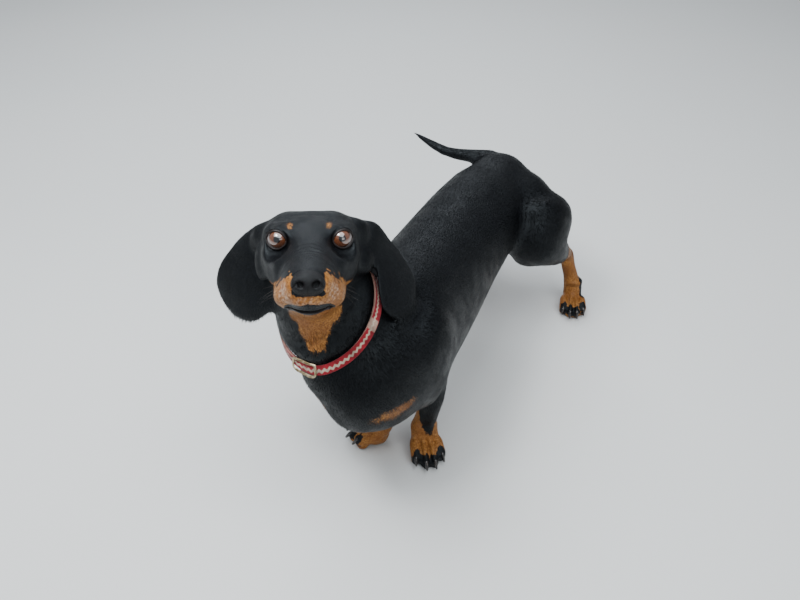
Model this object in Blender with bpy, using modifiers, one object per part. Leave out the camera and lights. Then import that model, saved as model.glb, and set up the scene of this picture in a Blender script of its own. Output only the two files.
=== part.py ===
"""A smooth-coated dachshund as a life-size still model.

It stands on four feet, faces -Y, and lifts and turns its head towards its left. It wears a flat
collar. Everything is in metres, +Z is up, and the origin is under the middle of the model, on the
floor. Left and right are the animal's own, so its left is +X.

The flesh is modelled whole from lofted tubes and rounded masses, fused into one skin, and then
parted into nodes by thin cuts. The ears are thin flaps that hang from the head.
"""

import math

import bmesh
import bpy
import numpy as np
from mathutils import Matrix, Vector
from mathutils.bvhtree import BVHTree

# Driving dimensions of the animal
WITHERS = 0.228            # floor to the top of the shoulders
BACK = 0.214               # floor to the top of the back
CHEST_LOW = 0.082          # floor to the keel between the forelegs
CHEST_WIDTH = 0.126
LOIN_WIDTH = 0.114
RUMP_Y = 0.338             # elbows to the back of the thighs, along the ground
FORECHEST_Y = -0.104       # elbows to the point of the breastbone
EYE_SPACING = 0.0550       # between the pupils
EYE_RADIUS = 0.0105
EAR_THICK = 0.0034
TAIL_RADIUS = 0.0118
CLAW_LENGTH = 0.0105
CLAW_RADIUS = 0.0023

# The head's place and turn
HEAD_AT = Vector((-0.0200, -0.0810, 0.3150))   # midway between the eyes
HEAD_TURN = math.radians(32)                   # towards the left
HEAD_LIFT = math.radians(25)
HEAD_ROLL = math.radians(2)                    # the left eye a little lower

# Modelling sizes
GAP = 0.0003               # clear space between nodes that meet
FORM_VOXEL = 0.0030        # fusing the large masses
SKIN_VOXEL = 0.0014        # fusing the finer parts with them
HEAD_TRIANGLES = 13500     # the whole skin, where the head is taken from
PAW_TRIANGLES = 6000       # the whole skin, where the paws are taken from
PLAIN_TRIANGLES = 4300     # the whole skin, where the rest is taken from

# The head's parts are drawn in its own frame, in metres for eyes this far apart
DRAWN_EYE_SPACING = 0.0576
LEVEL_HEAD = (
    Matrix.Translation(HEAD_AT)
    @ Matrix.Rotation(HEAD_TURN, 4, "Z")
    @ Matrix.Scale(EYE_SPACING / DRAWN_EYE_SPACING, 4)
)
HEAD = (
    LEVEL_HEAD
    @ Matrix.Rotation(-HEAD_LIFT, 4, "X")
    @ Matrix.Rotation(HEAD_ROLL, 4, "Y")
)


def clear_scene():
    for obj in list(bpy.data.objects):
        bpy.data.objects.remove(obj)


def new_collection(name):
    made = bpy.data.collections.new(name)
    bpy.context.scene.collection.children.link(made)
    return made


def add_mesh(name, mesh, collection):
    obj = bpy.data.objects.new(name, mesh)
    collection.objects.link(obj)
    return obj


def from_bmesh(name, bm, collection):
    bmesh.ops.recalc_face_normals(bm, faces=bm.faces)
    mesh = bpy.data.meshes.new(name)
    bm.to_mesh(mesh)
    bm.free()
    return add_mesh(name, mesh, collection)


def evaluated_mesh(obj):
    """A new mesh with the object's modifiers applied, in world space."""
    graph = bpy.context.evaluated_depsgraph_get()
    evaluated = obj.evaluated_get(graph)
    mesh = bpy.data.meshes.new_from_object(evaluated)
    mesh.transform(evaluated.matrix_world)
    return mesh


def settle(obj):
    """Applies the object's modifiers and transform to its own mesh."""
    mesh = evaluated_mesh(obj)
    obj.modifiers.clear()
    obj.data = mesh
    obj.matrix_world = Matrix.Identity(4)
    return obj


def smooth_rows(rows, per_span):
    """Rows of numbers, with more rows between them on a smooth curve through them all."""
    rows = np.array(rows, float)
    padded = np.vstack([2 * rows[0] - rows[1], rows, 2 * rows[-1] - rows[-2]])
    made = []
    for a, b, c, d in zip(padded, padded[1:], padded[2:], padded[3:]):
        for step in range(per_span):
            t = step / per_span
            made.append(
                0.5 * (2 * b + (c - a) * t + (2 * a - 5 * b + 4 * c - d) * t**2
                       + (3 * b - a - 3 * c + d) * t**3)
            )
    made.append(rows[-1])
    return np.array(made)


def tube(name, rows, up, place=Matrix.Identity(4), sides=20, per_span=3):
    """A closed round form along a path. Each row is x, y, z, half width, rise above, drop below.

    The width is square to the path and to up, and the rise and drop are along up."""
    rows = smooth_rows(rows, per_span)
    centres = rows[:, :3]
    along = np.gradient(centres, axis=0)
    bm = bmesh.new()
    rings = []
    for centre, direction, sizes in zip(centres, along, rows[:, 3:]):
        tangent = Vector(direction).normalized()
        side = tangent.cross(Vector(up)).normalized()
        rise = side.cross(tangent).normalized()
        half, top, bottom = np.maximum(sizes, 0.0008)
        ring = []
        for k in range(sides):
            angle = 2 * math.pi * k / sides
            height = math.sin(angle) * (top if math.sin(angle) > 0 else bottom)
            point = Vector(centre) + side * (math.cos(angle) * half) + rise * height
            ring.append(bm.verts.new(place @ point))
        rings.append(ring)
    for first, second in zip(rings, rings[1:]):
        for k in range(sides):
            n = (k + 1) % sides
            bm.faces.new((first[k], first[n], second[n], second[k]))
    bm.faces.new(rings[0])
    bm.faces.new(rings[-1])
    return from_bmesh(name, bm, FORMS)


def mass(name, centre, radii, turn=(0, 0, 0), place=Matrix.Identity(4), segments=20):
    """An ellipsoid. turn is in degrees about X, Y and Z, in that order."""
    bm = bmesh.new()
    spin = Matrix.Identity(4)
    for angle, axis in zip(turn, "XYZ"):
        spin = Matrix.Rotation(math.radians(angle), 4, axis) @ spin
    shape = place @ Matrix.Translation(centre) @ spin @ Matrix.Diagonal((*radii, 1))
    bmesh.ops.create_uvsphere(bm, u_segments=segments, v_segments=segments * 3 // 5, radius=1, matrix=shape)
    return from_bmesh(name, bm, FORMS)


def both_sides(make, name, centre, *rest, **how):
    """The same mass on the left and on the right of its own middle plane."""
    x, y, z = centre
    turn = how.pop("turn", (0, 0, 0))
    return [
        make(name + "_left", (x, y, z), *rest, turn=turn, **how),
        make(name + "_right", (-x, y, z), *rest, turn=(turn[0], -turn[1], -turn[2]), **how),
    ]


def fuse(name, pieces, voxel, smoothing):
    """One skin round all the pieces, with its creases filled by smoothing."""
    bm = bmesh.new()
    for piece in pieces:
        bm.from_mesh(piece.data)
        bpy.data.objects.remove(piece)
    fused = from_bmesh(name, bm, FORMS)
    remesh = fused.modifiers.new("Remesh", "REMESH")
    remesh.mode = "VOXEL"
    remesh.voxel_size = voxel
    if smoothing:
        soften = fused.modifiers.new("Smooth", "SMOOTH")
        soften.factor = 0.5
        soften.iterations = smoothing
    return settle(fused)


# The trunk and neck


def trunk_and_neck():
    """Rows run from the rump to the forechest, then up the neck to the head."""
    chest, loin = CHEST_WIDTH / 2, LOIN_WIDTH / 2
    trunk_rows = [
        (0.008, RUMP_Y, 0.172, 0.014, 0.014, 0.016),
        (0.008, 0.326, 0.172, 0.034, 0.026, 0.032),
        (0.007, 0.300, 0.166, 0.046, 0.038, 0.042),
        (0.005, 0.265, 0.162, loin - 0.003, BACK - 0.163, 0.050),
        (0.003, 0.215, 0.158, loin, BACK - 0.157, 0.058),
        (0.002, 0.165, 0.152, loin + 0.002, BACK - 0.152, 0.062),
        (0.004, 0.110, 0.150, chest - 0.001, BACK - 0.150, 0.067),
        (0.008, 0.055, 0.150, chest, WITHERS - 0.158, 0.150 - CHEST_LOW),
        (0.012, 0.005, 0.150, chest - 0.001, WITHERS - 0.152, 0.150 - CHEST_LOW),
        (0.015, -0.040, 0.148, 0.058, 0.068, 0.060),
        (0.016, -0.078, 0.145, 0.044, 0.050, 0.044),
        (0.016, FORECHEST_Y, 0.142, 0.018, 0.022, 0.020),
    ]
    neck_rows = [
        (0.012, 0.040, 0.140, 0.054, 0.052, 0.070),
        (-0.006, -0.022, 0.178, 0.055, 0.052, 0.062),
        (-0.024, -0.043, 0.206, 0.049, 0.048, 0.054),
        (-0.034, -0.049, 0.232, 0.0445, 0.044, 0.049),
        (-0.040, -0.048, 0.256, 0.041, 0.040, 0.045),
        (-0.046, -0.043, 0.280, 0.037, 0.036, 0.040),
    ]
    return [
        tube("trunk", trunk_rows, (0, 0, 1)),
        tube("neck", neck_rows, (0, 1, 0.3)),
        mass("keel", (0.012, -0.030, 0.112), (0.028, 0.052, 0.034)),
        mass("breastbone", (0.012, -0.068, 0.142), (0.034, 0.036, 0.034)),
        mass("neck_base", (-0.008, -0.058, 0.168), (0.042, 0.046, 0.040)),
        mass("croup", (0.006, 0.292, 0.184), (0.036, 0.046, 0.028)),
    ]


def limb_masses():
    """The muscles of the shoulders and thighs."""
    return [
        mass("shoulder_left", (0.054, -0.004, 0.158), (0.025, 0.046, 0.054), turn=(-24, 0, 6)),
        mass("shoulder_right", (-0.040, -0.018, 0.162), (0.026, 0.048, 0.054), turn=(-24, 0, -6)),
        mass("upper_arm_left", (0.053, -0.002, 0.124), (0.020, 0.036, 0.032), turn=(20, 0, 0)),
        mass("upper_arm_right", (-0.029, -0.002, 0.124), (0.020, 0.036, 0.032), turn=(20, 0, 0)),
        mass("thigh_left", (0.0705, 0.278, 0.137), (0.035, 0.050, 0.050), turn=(24, 22, 0)),
        mass("hip_left", (0.0415, 0.290, 0.167), (0.034, 0.038, 0.0325)),
        mass("hip_right", (-0.014, 0.284, 0.162), (0.030, 0.038, 0.032)),
        mass("thigh_right", (-0.026, 0.276, 0.142), (0.028, 0.050, 0.052), turn=(24, -6, 0)),
        mass("stifle_left", (0.084, 0.262, 0.136), (0.024, 0.032, 0.028), turn=(20, 0, 0)),
        mass("stifle_right", (-0.038, 0.250, 0.126), (0.021, 0.032, 0.030), turn=(20, 0, 0)),
    ]


# The legs. A foot's place is under its ankle, and its turn is outwards from straight ahead.

FOREFEET = {
    "left": {"side": 1, "foot": Vector((0.044, 0.015, 0)), "turn": 38, "elbow": Vector((0.049, 0.024, 0.116))},
    "right": {"side": -1, "foot": Vector((-0.003, 0.004, 0)), "turn": 66, "elbow": Vector((-0.030, 0.022, 0.116))},
}
HINDFEET = {
    "left": {"side": 1, "foot": Vector((0.111, 0.328, 0)), "turn": 22,
             "knee": Vector((0.086, 0.262, 0.130)), "hock": Vector((0.092, 0.340, 0.070))},
    "right": {"side": -1, "foot": Vector((-0.050, 0.322, 0)), "turn": 12,
              "knee": Vector((-0.044, 0.244, 0.116)), "hock": Vector((-0.046, 0.342, 0.072))},
}
FOREPAW = {"length": 0.050, "width": 0.041, "height": 0.025}
HINDPAW = {"length": 0.044, "width": 0.036, "height": 0.023}


def paw_place(foot):
    """The frame of a paw: its toes point along -Y and the floor is z = 0."""
    return (
        Matrix.Translation(foot["foot"])
        @ Matrix.Rotation(math.radians(foot["turn"]) * foot["side"], 4, "Z")
    )


def foreleg(side, foot):
    ankle = paw_place(foot) @ Vector((0, 0.002, 0.030))
    elbow = foot["elbow"]
    middle = elbow.lerp(ankle, 0.5) + Vector((0.004 * foot["side"], -0.003, 0))
    top = elbow + Vector((0, -0.014, 0.030))
    rows = [
        (*top, 0.018, 0.026, 0.026),
        (*elbow, 0.0165, 0.020, 0.022),
        (*middle, 0.0135, 0.0145, 0.0160),
        (*elbow.lerp(ankle, 0.85), 0.0130, 0.0125, 0.0130),
        (*ankle, 0.0150, 0.0130, 0.0125),
        (*(paw_place(foot) @ Vector((0, -0.004, 0.014))), 0.0160, 0.0120, 0.0115),
    ]
    return tube("foreleg_" + side, rows, (0, -1, 0))


def hindleg(side, foot):
    knee, hock = foot["knee"], foot["hock"]
    ankle = paw_place(foot) @ Vector((0, 0.010, 0.024))
    hip = knee + Vector((-0.020 * foot["side"], 0.022, 0.040))
    shank = [
        (*hip, 0.026, 0.040, 0.040),
        (*knee, 0.021, 0.026, 0.028),
        (*knee.lerp(hock, 0.45), 0.0170, 0.020, 0.024),
        (*knee.lerp(hock, 0.82), 0.0115, 0.0125, 0.0125),
        (*hock, 0.0100, 0.0105, 0.0110),
    ]
    pastern = [
        (*(hock + Vector((0, 0.004, 0.008))), 0.0080, 0.0080, 0.0085),
        (*hock, 0.0105, 0.0105, 0.0120),
        (*hock.lerp(ankle, 0.5), 0.0100, 0.0095, 0.0100),
        (*ankle, 0.0120, 0.0110, 0.0105),
        (*(paw_place(foot) @ Vector((0, -0.002, 0.014))), 0.0145, 0.0110, 0.0105),
    ]
    return [
        tube("shank_" + side, shank, (0, -1, 0.6)),
        tube("pastern_" + side, pastern, (0, -1, 0)),
    ]


TOES = (
    # across as a share of the half width, reach as a share of the length, splay in degrees
    (-0.78, 0.44, -12),
    (-0.27, 0.60, -3),
    (0.27, 0.60, 3),
    (0.78, 0.44, 12),
)


def toe_points(size):
    """For each toe: where its last joint sits in the paw's frame, and its splay."""
    for across, reach, splay in TOES:
        x = across * size["width"] / 2 * 0.86
        y = -reach * size["length"]
        yield Vector((x, y, size["height"] * 0.42)), splay


def paw(side, foot, size, name):
    """The palm, four arched toes and the pads under them."""
    place = paw_place(foot)
    w, h, n = size["width"], size["height"], size["length"]
    pieces = [
        mass(name + "_palm", (0, -0.15 * n, 0.46 * h), (0.40 * w, 0.34 * n, 0.50 * h), place=place),
        mass(name + "_heel_pad", (0, -0.06 * n, 0.20 * h), (0.30 * w, 0.22 * n, 0.26 * h), place=place),
    ]
    for number, (tip, splay) in enumerate(toe_points(size)):
        knuckle = tip + Vector((-0.12 * tip.x, 0.26 * n, 0.20 * h))
        rows = [
            (*(knuckle + Vector((0, 0.10 * n, 0.0))), 0.0052, 0.0050, 0.0060),
            (*knuckle, 0.0066, 0.0066, 0.0080),
            (*tip.lerp(knuckle, 0.45), 0.0064, 0.0068, 0.0080),
            (*tip, 0.0061, 0.0060, 0.0078),
            (*(tip + Vector((0, -0.0058, -0.0006))), 0.0036, 0.0036, 0.0044),
        ]
        pieces.append(tube(f"{name}_toe_{number}", rows, (0, 0, 1), place, sides=14, per_span=2))
        pieces.append(
            mass(f"{name}_pad_{number}", (tip.x, tip.y + 0.002, 0.0038), (0.0054, 0.0070, 0.0050),
                 place=place)
        )
    return pieces


def claws(foot, size, name):
    """Curved, tapering claws, one for each toe, with their roots sunk in the toes."""
    place = paw_place(foot)
    made = []
    for number, (tip, splay) in enumerate(toe_points(size)):
        lean = Matrix.Rotation(math.radians(splay) * 0.8, 4, "Z")
        rows = []
        for t in (0, 0.35, 0.7, 1.0):
            reach = Vector((0, -CLAW_LENGTH * t - 0.0020, 0.0032 - 0.0072 * t**1.6))
            radius = CLAW_RADIUS * (1 - 0.72 * t)
            rows.append((*(tip + lean @ reach), radius * 0.85, radius, radius))
        made.append(tube(f"{name}_claw_{number}", rows, (0, 0, 1), place, sides=8, per_span=1))
    return made


def tail():
    """It leaves the rump backwards, then swings out to the right and lies nearly level."""
    rows = [
        (0.008, 0.290, 0.182, 0.017, 0.015, 0.015),
        (0.004, 0.312, 0.187, 0.0150, 0.0130, 0.0130),
        (-0.012, 0.326, 0.190, TAIL_RADIUS, TAIL_RADIUS * 0.95, TAIL_RADIUS * 0.95),
        (-0.036, 0.322, 0.189, 0.0106, 0.0096, 0.0098),
        (-0.066, 0.312, 0.191, 0.0096, 0.0090, 0.0088),
        (-0.094, 0.312, 0.198, 0.0080, 0.0076, 0.0074),
        (-0.114, 0.316, 0.204, 0.0056, 0.0054, 0.0054),
        (-0.126, 0.319, 0.208, 0.0022, 0.0022, 0.0022),
    ]
    return tube("tail", rows, (0, 0, 1), sides=16)


# The head, in its own frame: nose towards -Y, eyes level at the origin

EYE_AT = Vector((DRAWN_EYE_SPACING / 2 - 0.0025, 0.0075, 0.0))
EYE_TURN = math.radians(20)   # each eye looks a little outwards
LID_THICK = 0.0012


def skull_masses():
    skull_rows = [
        (0, 0.098, -0.020, 0.018, 0.014, 0.018),
        (0, 0.080, -0.018, 0.036, 0.028, 0.034),
        (0, 0.052, -0.016, 0.0440, 0.0350, 0.036),
        (0, 0.024, -0.015, 0.0420, 0.0325, 0.034),
        (0, 0.006, -0.016, 0.0350, 0.0280, 0.030),
        (0, -0.010, -0.0180, 0.0255, 0.0235, 0.026),
        (0, -0.028, -0.0215, 0.0235, 0.0205, 0.0225),
        (0, -0.046, -0.0235, 0.0235, 0.0195, 0.0205),
        (0, -0.062, -0.0245, 0.0228, 0.0195, 0.0195),
        (0, -0.076, -0.0255, 0.0210, 0.0180, 0.0180),
        (0, -0.0875, -0.0270, 0.0165, 0.0160, 0.0145),
    ]
    jaw_rows = [
        (0, 0.055, -0.036, 0.030, 0.022, 0.024),
        (0, 0.030, -0.044, 0.0280, 0.018, 0.0180),
        (0, 0.000, -0.0460, 0.0235, 0.012, 0.0125),
        (0, -0.030, -0.0455, 0.0190, 0.009, 0.0100),
        (0, -0.060, -0.0440, 0.0150, 0.006, 0.0075),
        (0, -0.0780, -0.0430, 0.0100, 0.004, 0.0055),
    ]
    return [
        tube("skull", skull_rows, (0, 0, 1), HEAD, sides=24),
        tube("jaw", jaw_rows, (0, 0, 1), HEAD),
        *both_sides(mass, "crown", (0.0190, 0.046, -0.0020), (0.0220, 0.0360, 0.0215), place=HEAD),
        *both_sides(mass, "cheek", (0.0265, 0.022, -0.024), (0.0165, 0.040, 0.022), place=HEAD),
        *both_sides(mass, "ear_base", (0.0455, 0.0480, -0.0300), (0.0120, 0.0150, 0.0220),
                    turn=(16, -16, 0), place=LEVEL_HEAD),
        mass("ear_fold", (0.0495, 0.0430, -0.0460), (0.0110, 0.0125, 0.0145), place=LEVEL_HEAD),
        mass("ear_front", (0.0470, 0.0265, -0.0470), (0.0100, 0.0130, 0.0125), place=LEVEL_HEAD),
        *both_sides(mass, "temple", (0.0315, 0.026, -0.001), (0.0120, 0.026, 0.0145), place=HEAD),
        *both_sides(mass, "zygoma", (0.0335, 0.020, -0.0150), (0.0115, 0.032, 0.0140), place=HEAD),
        mass("throat", (0, 0.036, -0.055), (0.030, 0.042, 0.025), place=HEAD),
        *both_sides(mass, "brow", (0.0205, 0.010, 0.0065), (0.0130, 0.0150, 0.0085), place=HEAD),
        *both_sides(mass, "under_eye", (0.0230, -0.006, -0.0190), (0.0120, 0.0280, 0.0125), place=HEAD),
        *both_sides(mass, "flew", (0.0155, -0.054, -0.0325), (0.0125, 0.0270, 0.0110), place=HEAD),
        *both_sides(mass, "hanging_lip", (0.0188, -0.0440, -0.0360), (0.0112, 0.0310, 0.0120),
                    turn=(0, 0, 5), place=HEAD),
        *both_sides(mass, "lip", (0.0220, -0.020, -0.0355), (0.0085, 0.0300, 0.0105),
                    turn=(0, 0, 8), place=HEAD),
    ]


def nose_masses():
    """The nose leather and its wings."""
    return [
        mass("nose_leather", (0, -0.0835, -0.0195), (0.0134, 0.0100, 0.0108), place=HEAD),
        *both_sides(mass, "nose_wing", (0.0082, -0.0855, -0.0205), (0.0058, 0.0074, 0.0076), place=HEAD),
    ]


def eye_frames():
    """For each side: the frame at the eyeball's centre, looking along -Y."""
    for side, sign in (("left", 1), ("right", -1)):
        at = Matrix.Translation((EYE_AT.x * sign, EYE_AT.y, EYE_AT.z))
        yield side, HEAD @ at @ Matrix.Rotation(EYE_TURN * sign, 4, "Z")


def lid_masses():
    lid = EYE_RADIUS + LID_THICK
    return [mass("lid_" + side, (0, 0, 0), (lid, lid, lid), place=frame) for side, frame in eye_frames()]


# Cuts in the head


def boolean(obj, other, operation, solver="EXACT"):
    modifier = obj.modifiers.new(operation.title(), "BOOLEAN")
    modifier.operation = operation
    modifier.solver = solver
    modifier.object = other
    settle(obj)
    keep_largest(obj)
    return obj


def keep_largest(obj):
    """Keeps only the object's largest closed surface."""
    bm = bmesh.new()
    bm.from_mesh(obj.data)
    seen, groups = set(), []
    for start in bm.verts:
        if start in seen:
            continue
        group, stack = [], [start]
        seen.add(start)
        while stack:
            vert = stack.pop()
            group.append(vert)
            for edge in vert.link_edges:
                near = edge.other_vert(vert)
                if near not in seen:
                    seen.add(near)
                    stack.append(near)
        groups.append(group)

    def spread(group):
        points = np.array([v.co for v in group])
        return float(np.prod(np.ptp(points, axis=0) + 1e-9))

    groups.sort(key=spread)
    for group in groups[:-1]:
        bmesh.ops.delete(bm, geom=group, context="VERTS")
    bm.to_mesh(obj.data)
    bm.free()


def cut_away(obj, cutter, solver="MANIFOLD"):
    boolean(obj, cutter, "DIFFERENCE", solver)
    bpy.data.objects.remove(cutter)


def almond(frame, width, height, depth):
    """The opening between the lids: a lens of two arcs, pushed through the lid towards -Y."""
    bm = bmesh.new()
    count = 18
    outline = []
    for k in range(count):
        angle = 2 * math.pi * k / count
        x = math.cos(angle) * width / 2
        z = math.sin(angle) * height / 2 * (1 - 0.18 * abs(math.cos(angle)) ** 3)
        outline.append((x, z))
    far = [bm.verts.new(frame @ Vector((x * 1.05, -depth, z * 1.05))) for x, z in outline]
    near = [bm.verts.new(frame @ Vector((x * 0.9, 0, z * 0.9))) for x, z in outline]
    for k in range(count):
        n = (k + 1) % count
        bm.faces.new((near[k], near[n], far[n], far[k]))
    bm.faces.new(near)
    bm.faces.new(far)
    return from_bmesh("opening", bm, CUTTERS)


def groove_along(points, radius):
    """A thin round cutter that follows the points."""
    rows = [(*p, radius, radius, radius) for p in points]
    made = tube("groove", rows, HEAD.to_3x3() @ Vector((0, 0, 1)), sides=6, per_span=1)
    return made


def surface_of(obj):
    bm = bmesh.new()
    bm.from_mesh(obj.data)
    tree = BVHTree.FromBMesh(bm)
    bm.free()
    return tree


MOUTH_Z = -0.0410
MOUTH_CORNER = 76          # degrees round from the front, seen from the mouth's middle
MOUTH_MIDDLE_Y = -0.040


def mouth_line(head):
    """Points on the skin along the closed lips, from one corner round the front to the other."""
    surface = surface_of(head)
    start = HEAD @ Vector((0, MOUTH_MIDDLE_Y, MOUTH_Z))
    points = []
    for step in range(-14, 15):
        share = abs(step) / 14
        angle = math.radians(MOUTH_CORNER) * step / 14
        # The lips hang lowest beside the chin, and the line rises again to its corners
        rise = -0.0055 * math.sin(0.8 * math.pi * share)
        shifted = start + HEAD.to_3x3() @ Vector((0, 0.022 * share ** 2, rise))
        way = HEAD.to_3x3() @ Vector((math.sin(angle), -math.cos(angle), 0))
        hit, _, _, _ = surface.ray_cast(shifted, way.normalized())
        if hit is not None:
            points.append(hit)
    return points


def carve_head(head):
    """The openings between the lids and the sockets behind them, the nostrils and the mouth."""
    for side, frame in eye_frames():
        sign = 1 if side == "left" else -1
        tilt = frame @ Matrix.Rotation(math.radians(8) * -sign, 4, "Y")
        cut_away(head, almond(tilt, 0.0176, 0.0146, 0.018))
        cut_away(head, mass("socket", (0, 0, 0), [EYE_RADIUS + GAP] * 3, place=frame))
    for sign in (1, -1):
        opening = HEAD @ Matrix.Translation((0.0062 * sign, -0.0930, -0.0195))
        cut_away(head, mass("nostril", (0, 0, 0), (0.0026, 0.0062, 0.0023), turn=(0, 18 * sign, -22 * sign),
                            place=opening))
        slit = opening @ Matrix.Translation((0.0038 * sign, 0.0020, -0.0010))
        cut_away(head, mass("nostril_slit", (0, 0, 0), (0.0036, 0.0036, 0.0010), turn=(0, 14 * sign, -30 * sign),
                            place=slit))
    lips = mouth_line(head)
    cut_away(head, groove_along(lips, 0.0009))
    front = HEAD @ Vector((0, -0.0935, -0.0215))
    parting = [front, HEAD @ Vector((0, -0.0925, -0.0270)), HEAD @ Vector((0, -0.0865, -0.0400))]
    cut_away(head, groove_along(parting, 0.0006))


# The ears. They hang straight down, so they are drawn in the level frame.
# Each row of a flap: how far out, back and up its middle is, its half width, and how far its
# back edge is swung outwards from straight behind its front edge, in degrees.

EARS = {
    "left": (1, [
        (0.0300, 0.0500, -0.0200, 0.0100, 6),
        (0.0450, 0.0520, -0.0210, 0.0100, 8),
        (0.0560, 0.0530, -0.0250, 0.0110, 10),
        (0.0632, 0.0520, -0.0328, 0.0150, 16),
        (0.0693, 0.0470, -0.0485, 0.0190, 24),
        (0.0744, 0.0400, -0.0613, 0.0235, 31),
        (0.0781, 0.0320, -0.0732, 0.0275, 35),
        (0.0823, 0.0250, -0.0846, 0.0295, 37),
        (0.0852, 0.0180, -0.0957, 0.0255, 38),
        (0.0880, 0.0140, -0.1050, 0.0170, 38),
        (0.0890, 0.0130, -0.1090, 0.0070, 38),
    ]),
    "right": (-1, [
        (0.0300, 0.0500, -0.0190, 0.0100, 14),
        (0.0450, 0.0520, -0.0200, 0.0095, 18),
        (0.0545, 0.0520, -0.0275, 0.0105, 28),
        (0.0622, 0.0490, -0.0371, 0.0145, 38),
        (0.0659, 0.0440, -0.0497, 0.0220, 46),
        (0.0676, 0.0380, -0.0609, 0.0300, 50),
        (0.0688, 0.0320, -0.0740, 0.0345, 53),
        (0.0689, 0.0270, -0.0853, 0.0335, 54),
        (0.0700, 0.0240, -0.0963, 0.0275, 54),
        (0.0705, 0.0222, -0.1045, 0.0170, 54),
        (0.0705, 0.0215, -0.1080, 0.0070, 54),
    ]),
}


def ear(side):
    """A leathery flap, cupped across its width, wide low down and round at the tip."""
    sign, drawn = EARS[side]
    rows = smooth_rows(drawn, 2)
    across_steps = 9
    bm = bmesh.new()
    grid = []
    for number, (out, back, up, half, swing) in enumerate(rows):
        t = number / (len(rows) - 1)
        swing = math.radians(swing)
        backwards = Vector((math.sin(swing) * sign, math.cos(swing), 0))
        outwards = Vector((math.cos(swing) * sign, -math.sin(swing), 0))
        line = []
        for k in range(across_steps):
            u = 2 * k / (across_steps - 1) - 1
            cup = -0.0060 * u * u * (1 - 0.4 * t)
            point = Vector((out * sign, back, up)) + backwards * (u * half) + outwards * cup
            line.append(bm.verts.new(LEVEL_HEAD @ point))
        grid.append(line)
    for first, second in zip(grid, grid[1:]):
        for k in range(across_steps - 1):
            bm.faces.new((first[k], first[k + 1], second[k + 1], second[k]))
    made = from_bmesh("ear_" + side, bm, PARTS)
    shell = made.modifiers.new("Solidify", "SOLIDIFY")
    shell.thickness = EAR_THICK
    shell.offset = 0
    return settle(made)


# Parting the skin into nodes


def block(start, way, size, margin):
    """A cutter box. It starts at a point, runs along a direction and has a length, width and depth.

    A margin makes it larger by that much on the sides, and starts it that much earlier."""
    way = Vector(way).normalized()
    long, wide, deep = size
    turn = way.to_track_quat("Z", "Y").to_matrix().to_4x4()
    middle = Vector(start) + way * (long - margin) / 2
    shape = Matrix.Diagonal((wide + 2 * margin, deep + 2 * margin, long + margin, 1))
    bm = bmesh.new()
    bmesh.ops.create_cube(bm, size=1, matrix=Matrix.Translation(middle) @ turn @ shape)
    return from_bmesh("block", bm, CUTTERS)


def part_off(body, source, name, region):
    """Makes a node of what lies inside a region, and clears it away from the body with a gap.

    The region is a function that makes a cutter, larger by a margin."""
    piece = add_mesh(name, source.data.copy(), PARTS)
    keep = region(0)
    boolean(piece, keep, "INTERSECT", "MANIFOLD")
    bpy.data.objects.remove(keep)
    cut_away(body, region(GAP))


def block_region(start, way, size):
    return lambda margin: block(start, way, size, margin)


def round_region(centre, radii):
    return lambda margin: mass("region", centre, [r + margin for r in radii], segments=30)


def swollen(obj, amount):
    """A copy of the object pushed out by a little, to cut its neighbours clear of it."""
    copy = add_mesh("swollen", obj.data.copy(), CUTTERS)
    push = copy.modifiers.new("Displace", "DISPLACE")
    push.strength = amount
    push.mid_level = 0
    return settle(copy)


def finish_paw(paw_node, foot, size):
    """Sets the claws in the toes and cuts the soles flat at the floor."""
    for claw in claws(foot, size, paw_node.name):
        boolean(paw_node, claw, "UNION", "MANIFOLD")
        bpy.data.objects.remove(claw)
    at = foot["foot"]
    cut_away(paw_node, block((at.x, at.y, 0), (0, 0, -1), (0.05, 0.2, 0.2), 0))


# The collar: a strap in a plane across the neck, low in front and high at the nape

COLLAR_AT = Vector((-0.022, -0.045, 0.224))    # the neck's middle, in the strap's plane
COLLAR_WAY = Vector((-0.17, -0.59, 0.79)).normalized()
COLLAR_WIDTH = 0.0094
COLLAR_THICK = 0.0022
COLLAR_CLEAR = 0.0012
COLLAR_STEPS = 60
SLIDE_AT = math.radians(-2)        # round from the front, towards the left
SLIDE_LENGTH = 0.023
SLIDE_BAR = 0.0011
CLIP_AT = math.radians(142)


def collar_way(angle):
    """The direction outwards in the strap's plane, at an angle round from the front."""
    left = (Vector((1, 0, 0)) - COLLAR_WAY * COLLAR_WAY.x).normalized()
    front = left.cross(COLLAR_WAY)
    return front * math.cos(angle) + left * math.sin(angle)


def neck_radii(nodes, rise):
    """How far the neck reaches at each step round, bridging its hollows as a taut strap does."""
    surfaces = [surface_of(nodes[name]) for name in ("neck", "head", "torso")]
    far = 0.12
    radii = []
    for step in range(COLLAR_STEPS):
        way = collar_way(2 * math.pi * step / COLLAR_STEPS)
        start = COLLAR_AT + COLLAR_WAY * rise + way * far
        hits = [surface.ray_cast(start, -way, far) for surface in surfaces]
        radii.append(max(far - hit[3] for hit in hits if hit[0] is not None) + COLLAR_CLEAR)
    radii = np.array(radii)
    for _ in range(60):
        radii = np.maximum(radii, (np.roll(radii, 1) + np.roll(radii, -1)) / 2)
    return radii


def ring(name, sections, collection):
    """A closed band through closed sections."""
    bm = bmesh.new()
    rings = [[bm.verts.new(point) for point in section] for section in sections]
    count = len(rings[0])
    for first, second in zip(rings, rings[1:] + rings[:1]):
        for k in range(count):
            n = (k + 1) % count
            bm.faces.new((first[k], first[n], second[n], second[k]))
    return from_bmesh(name, bm, collection)


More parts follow.
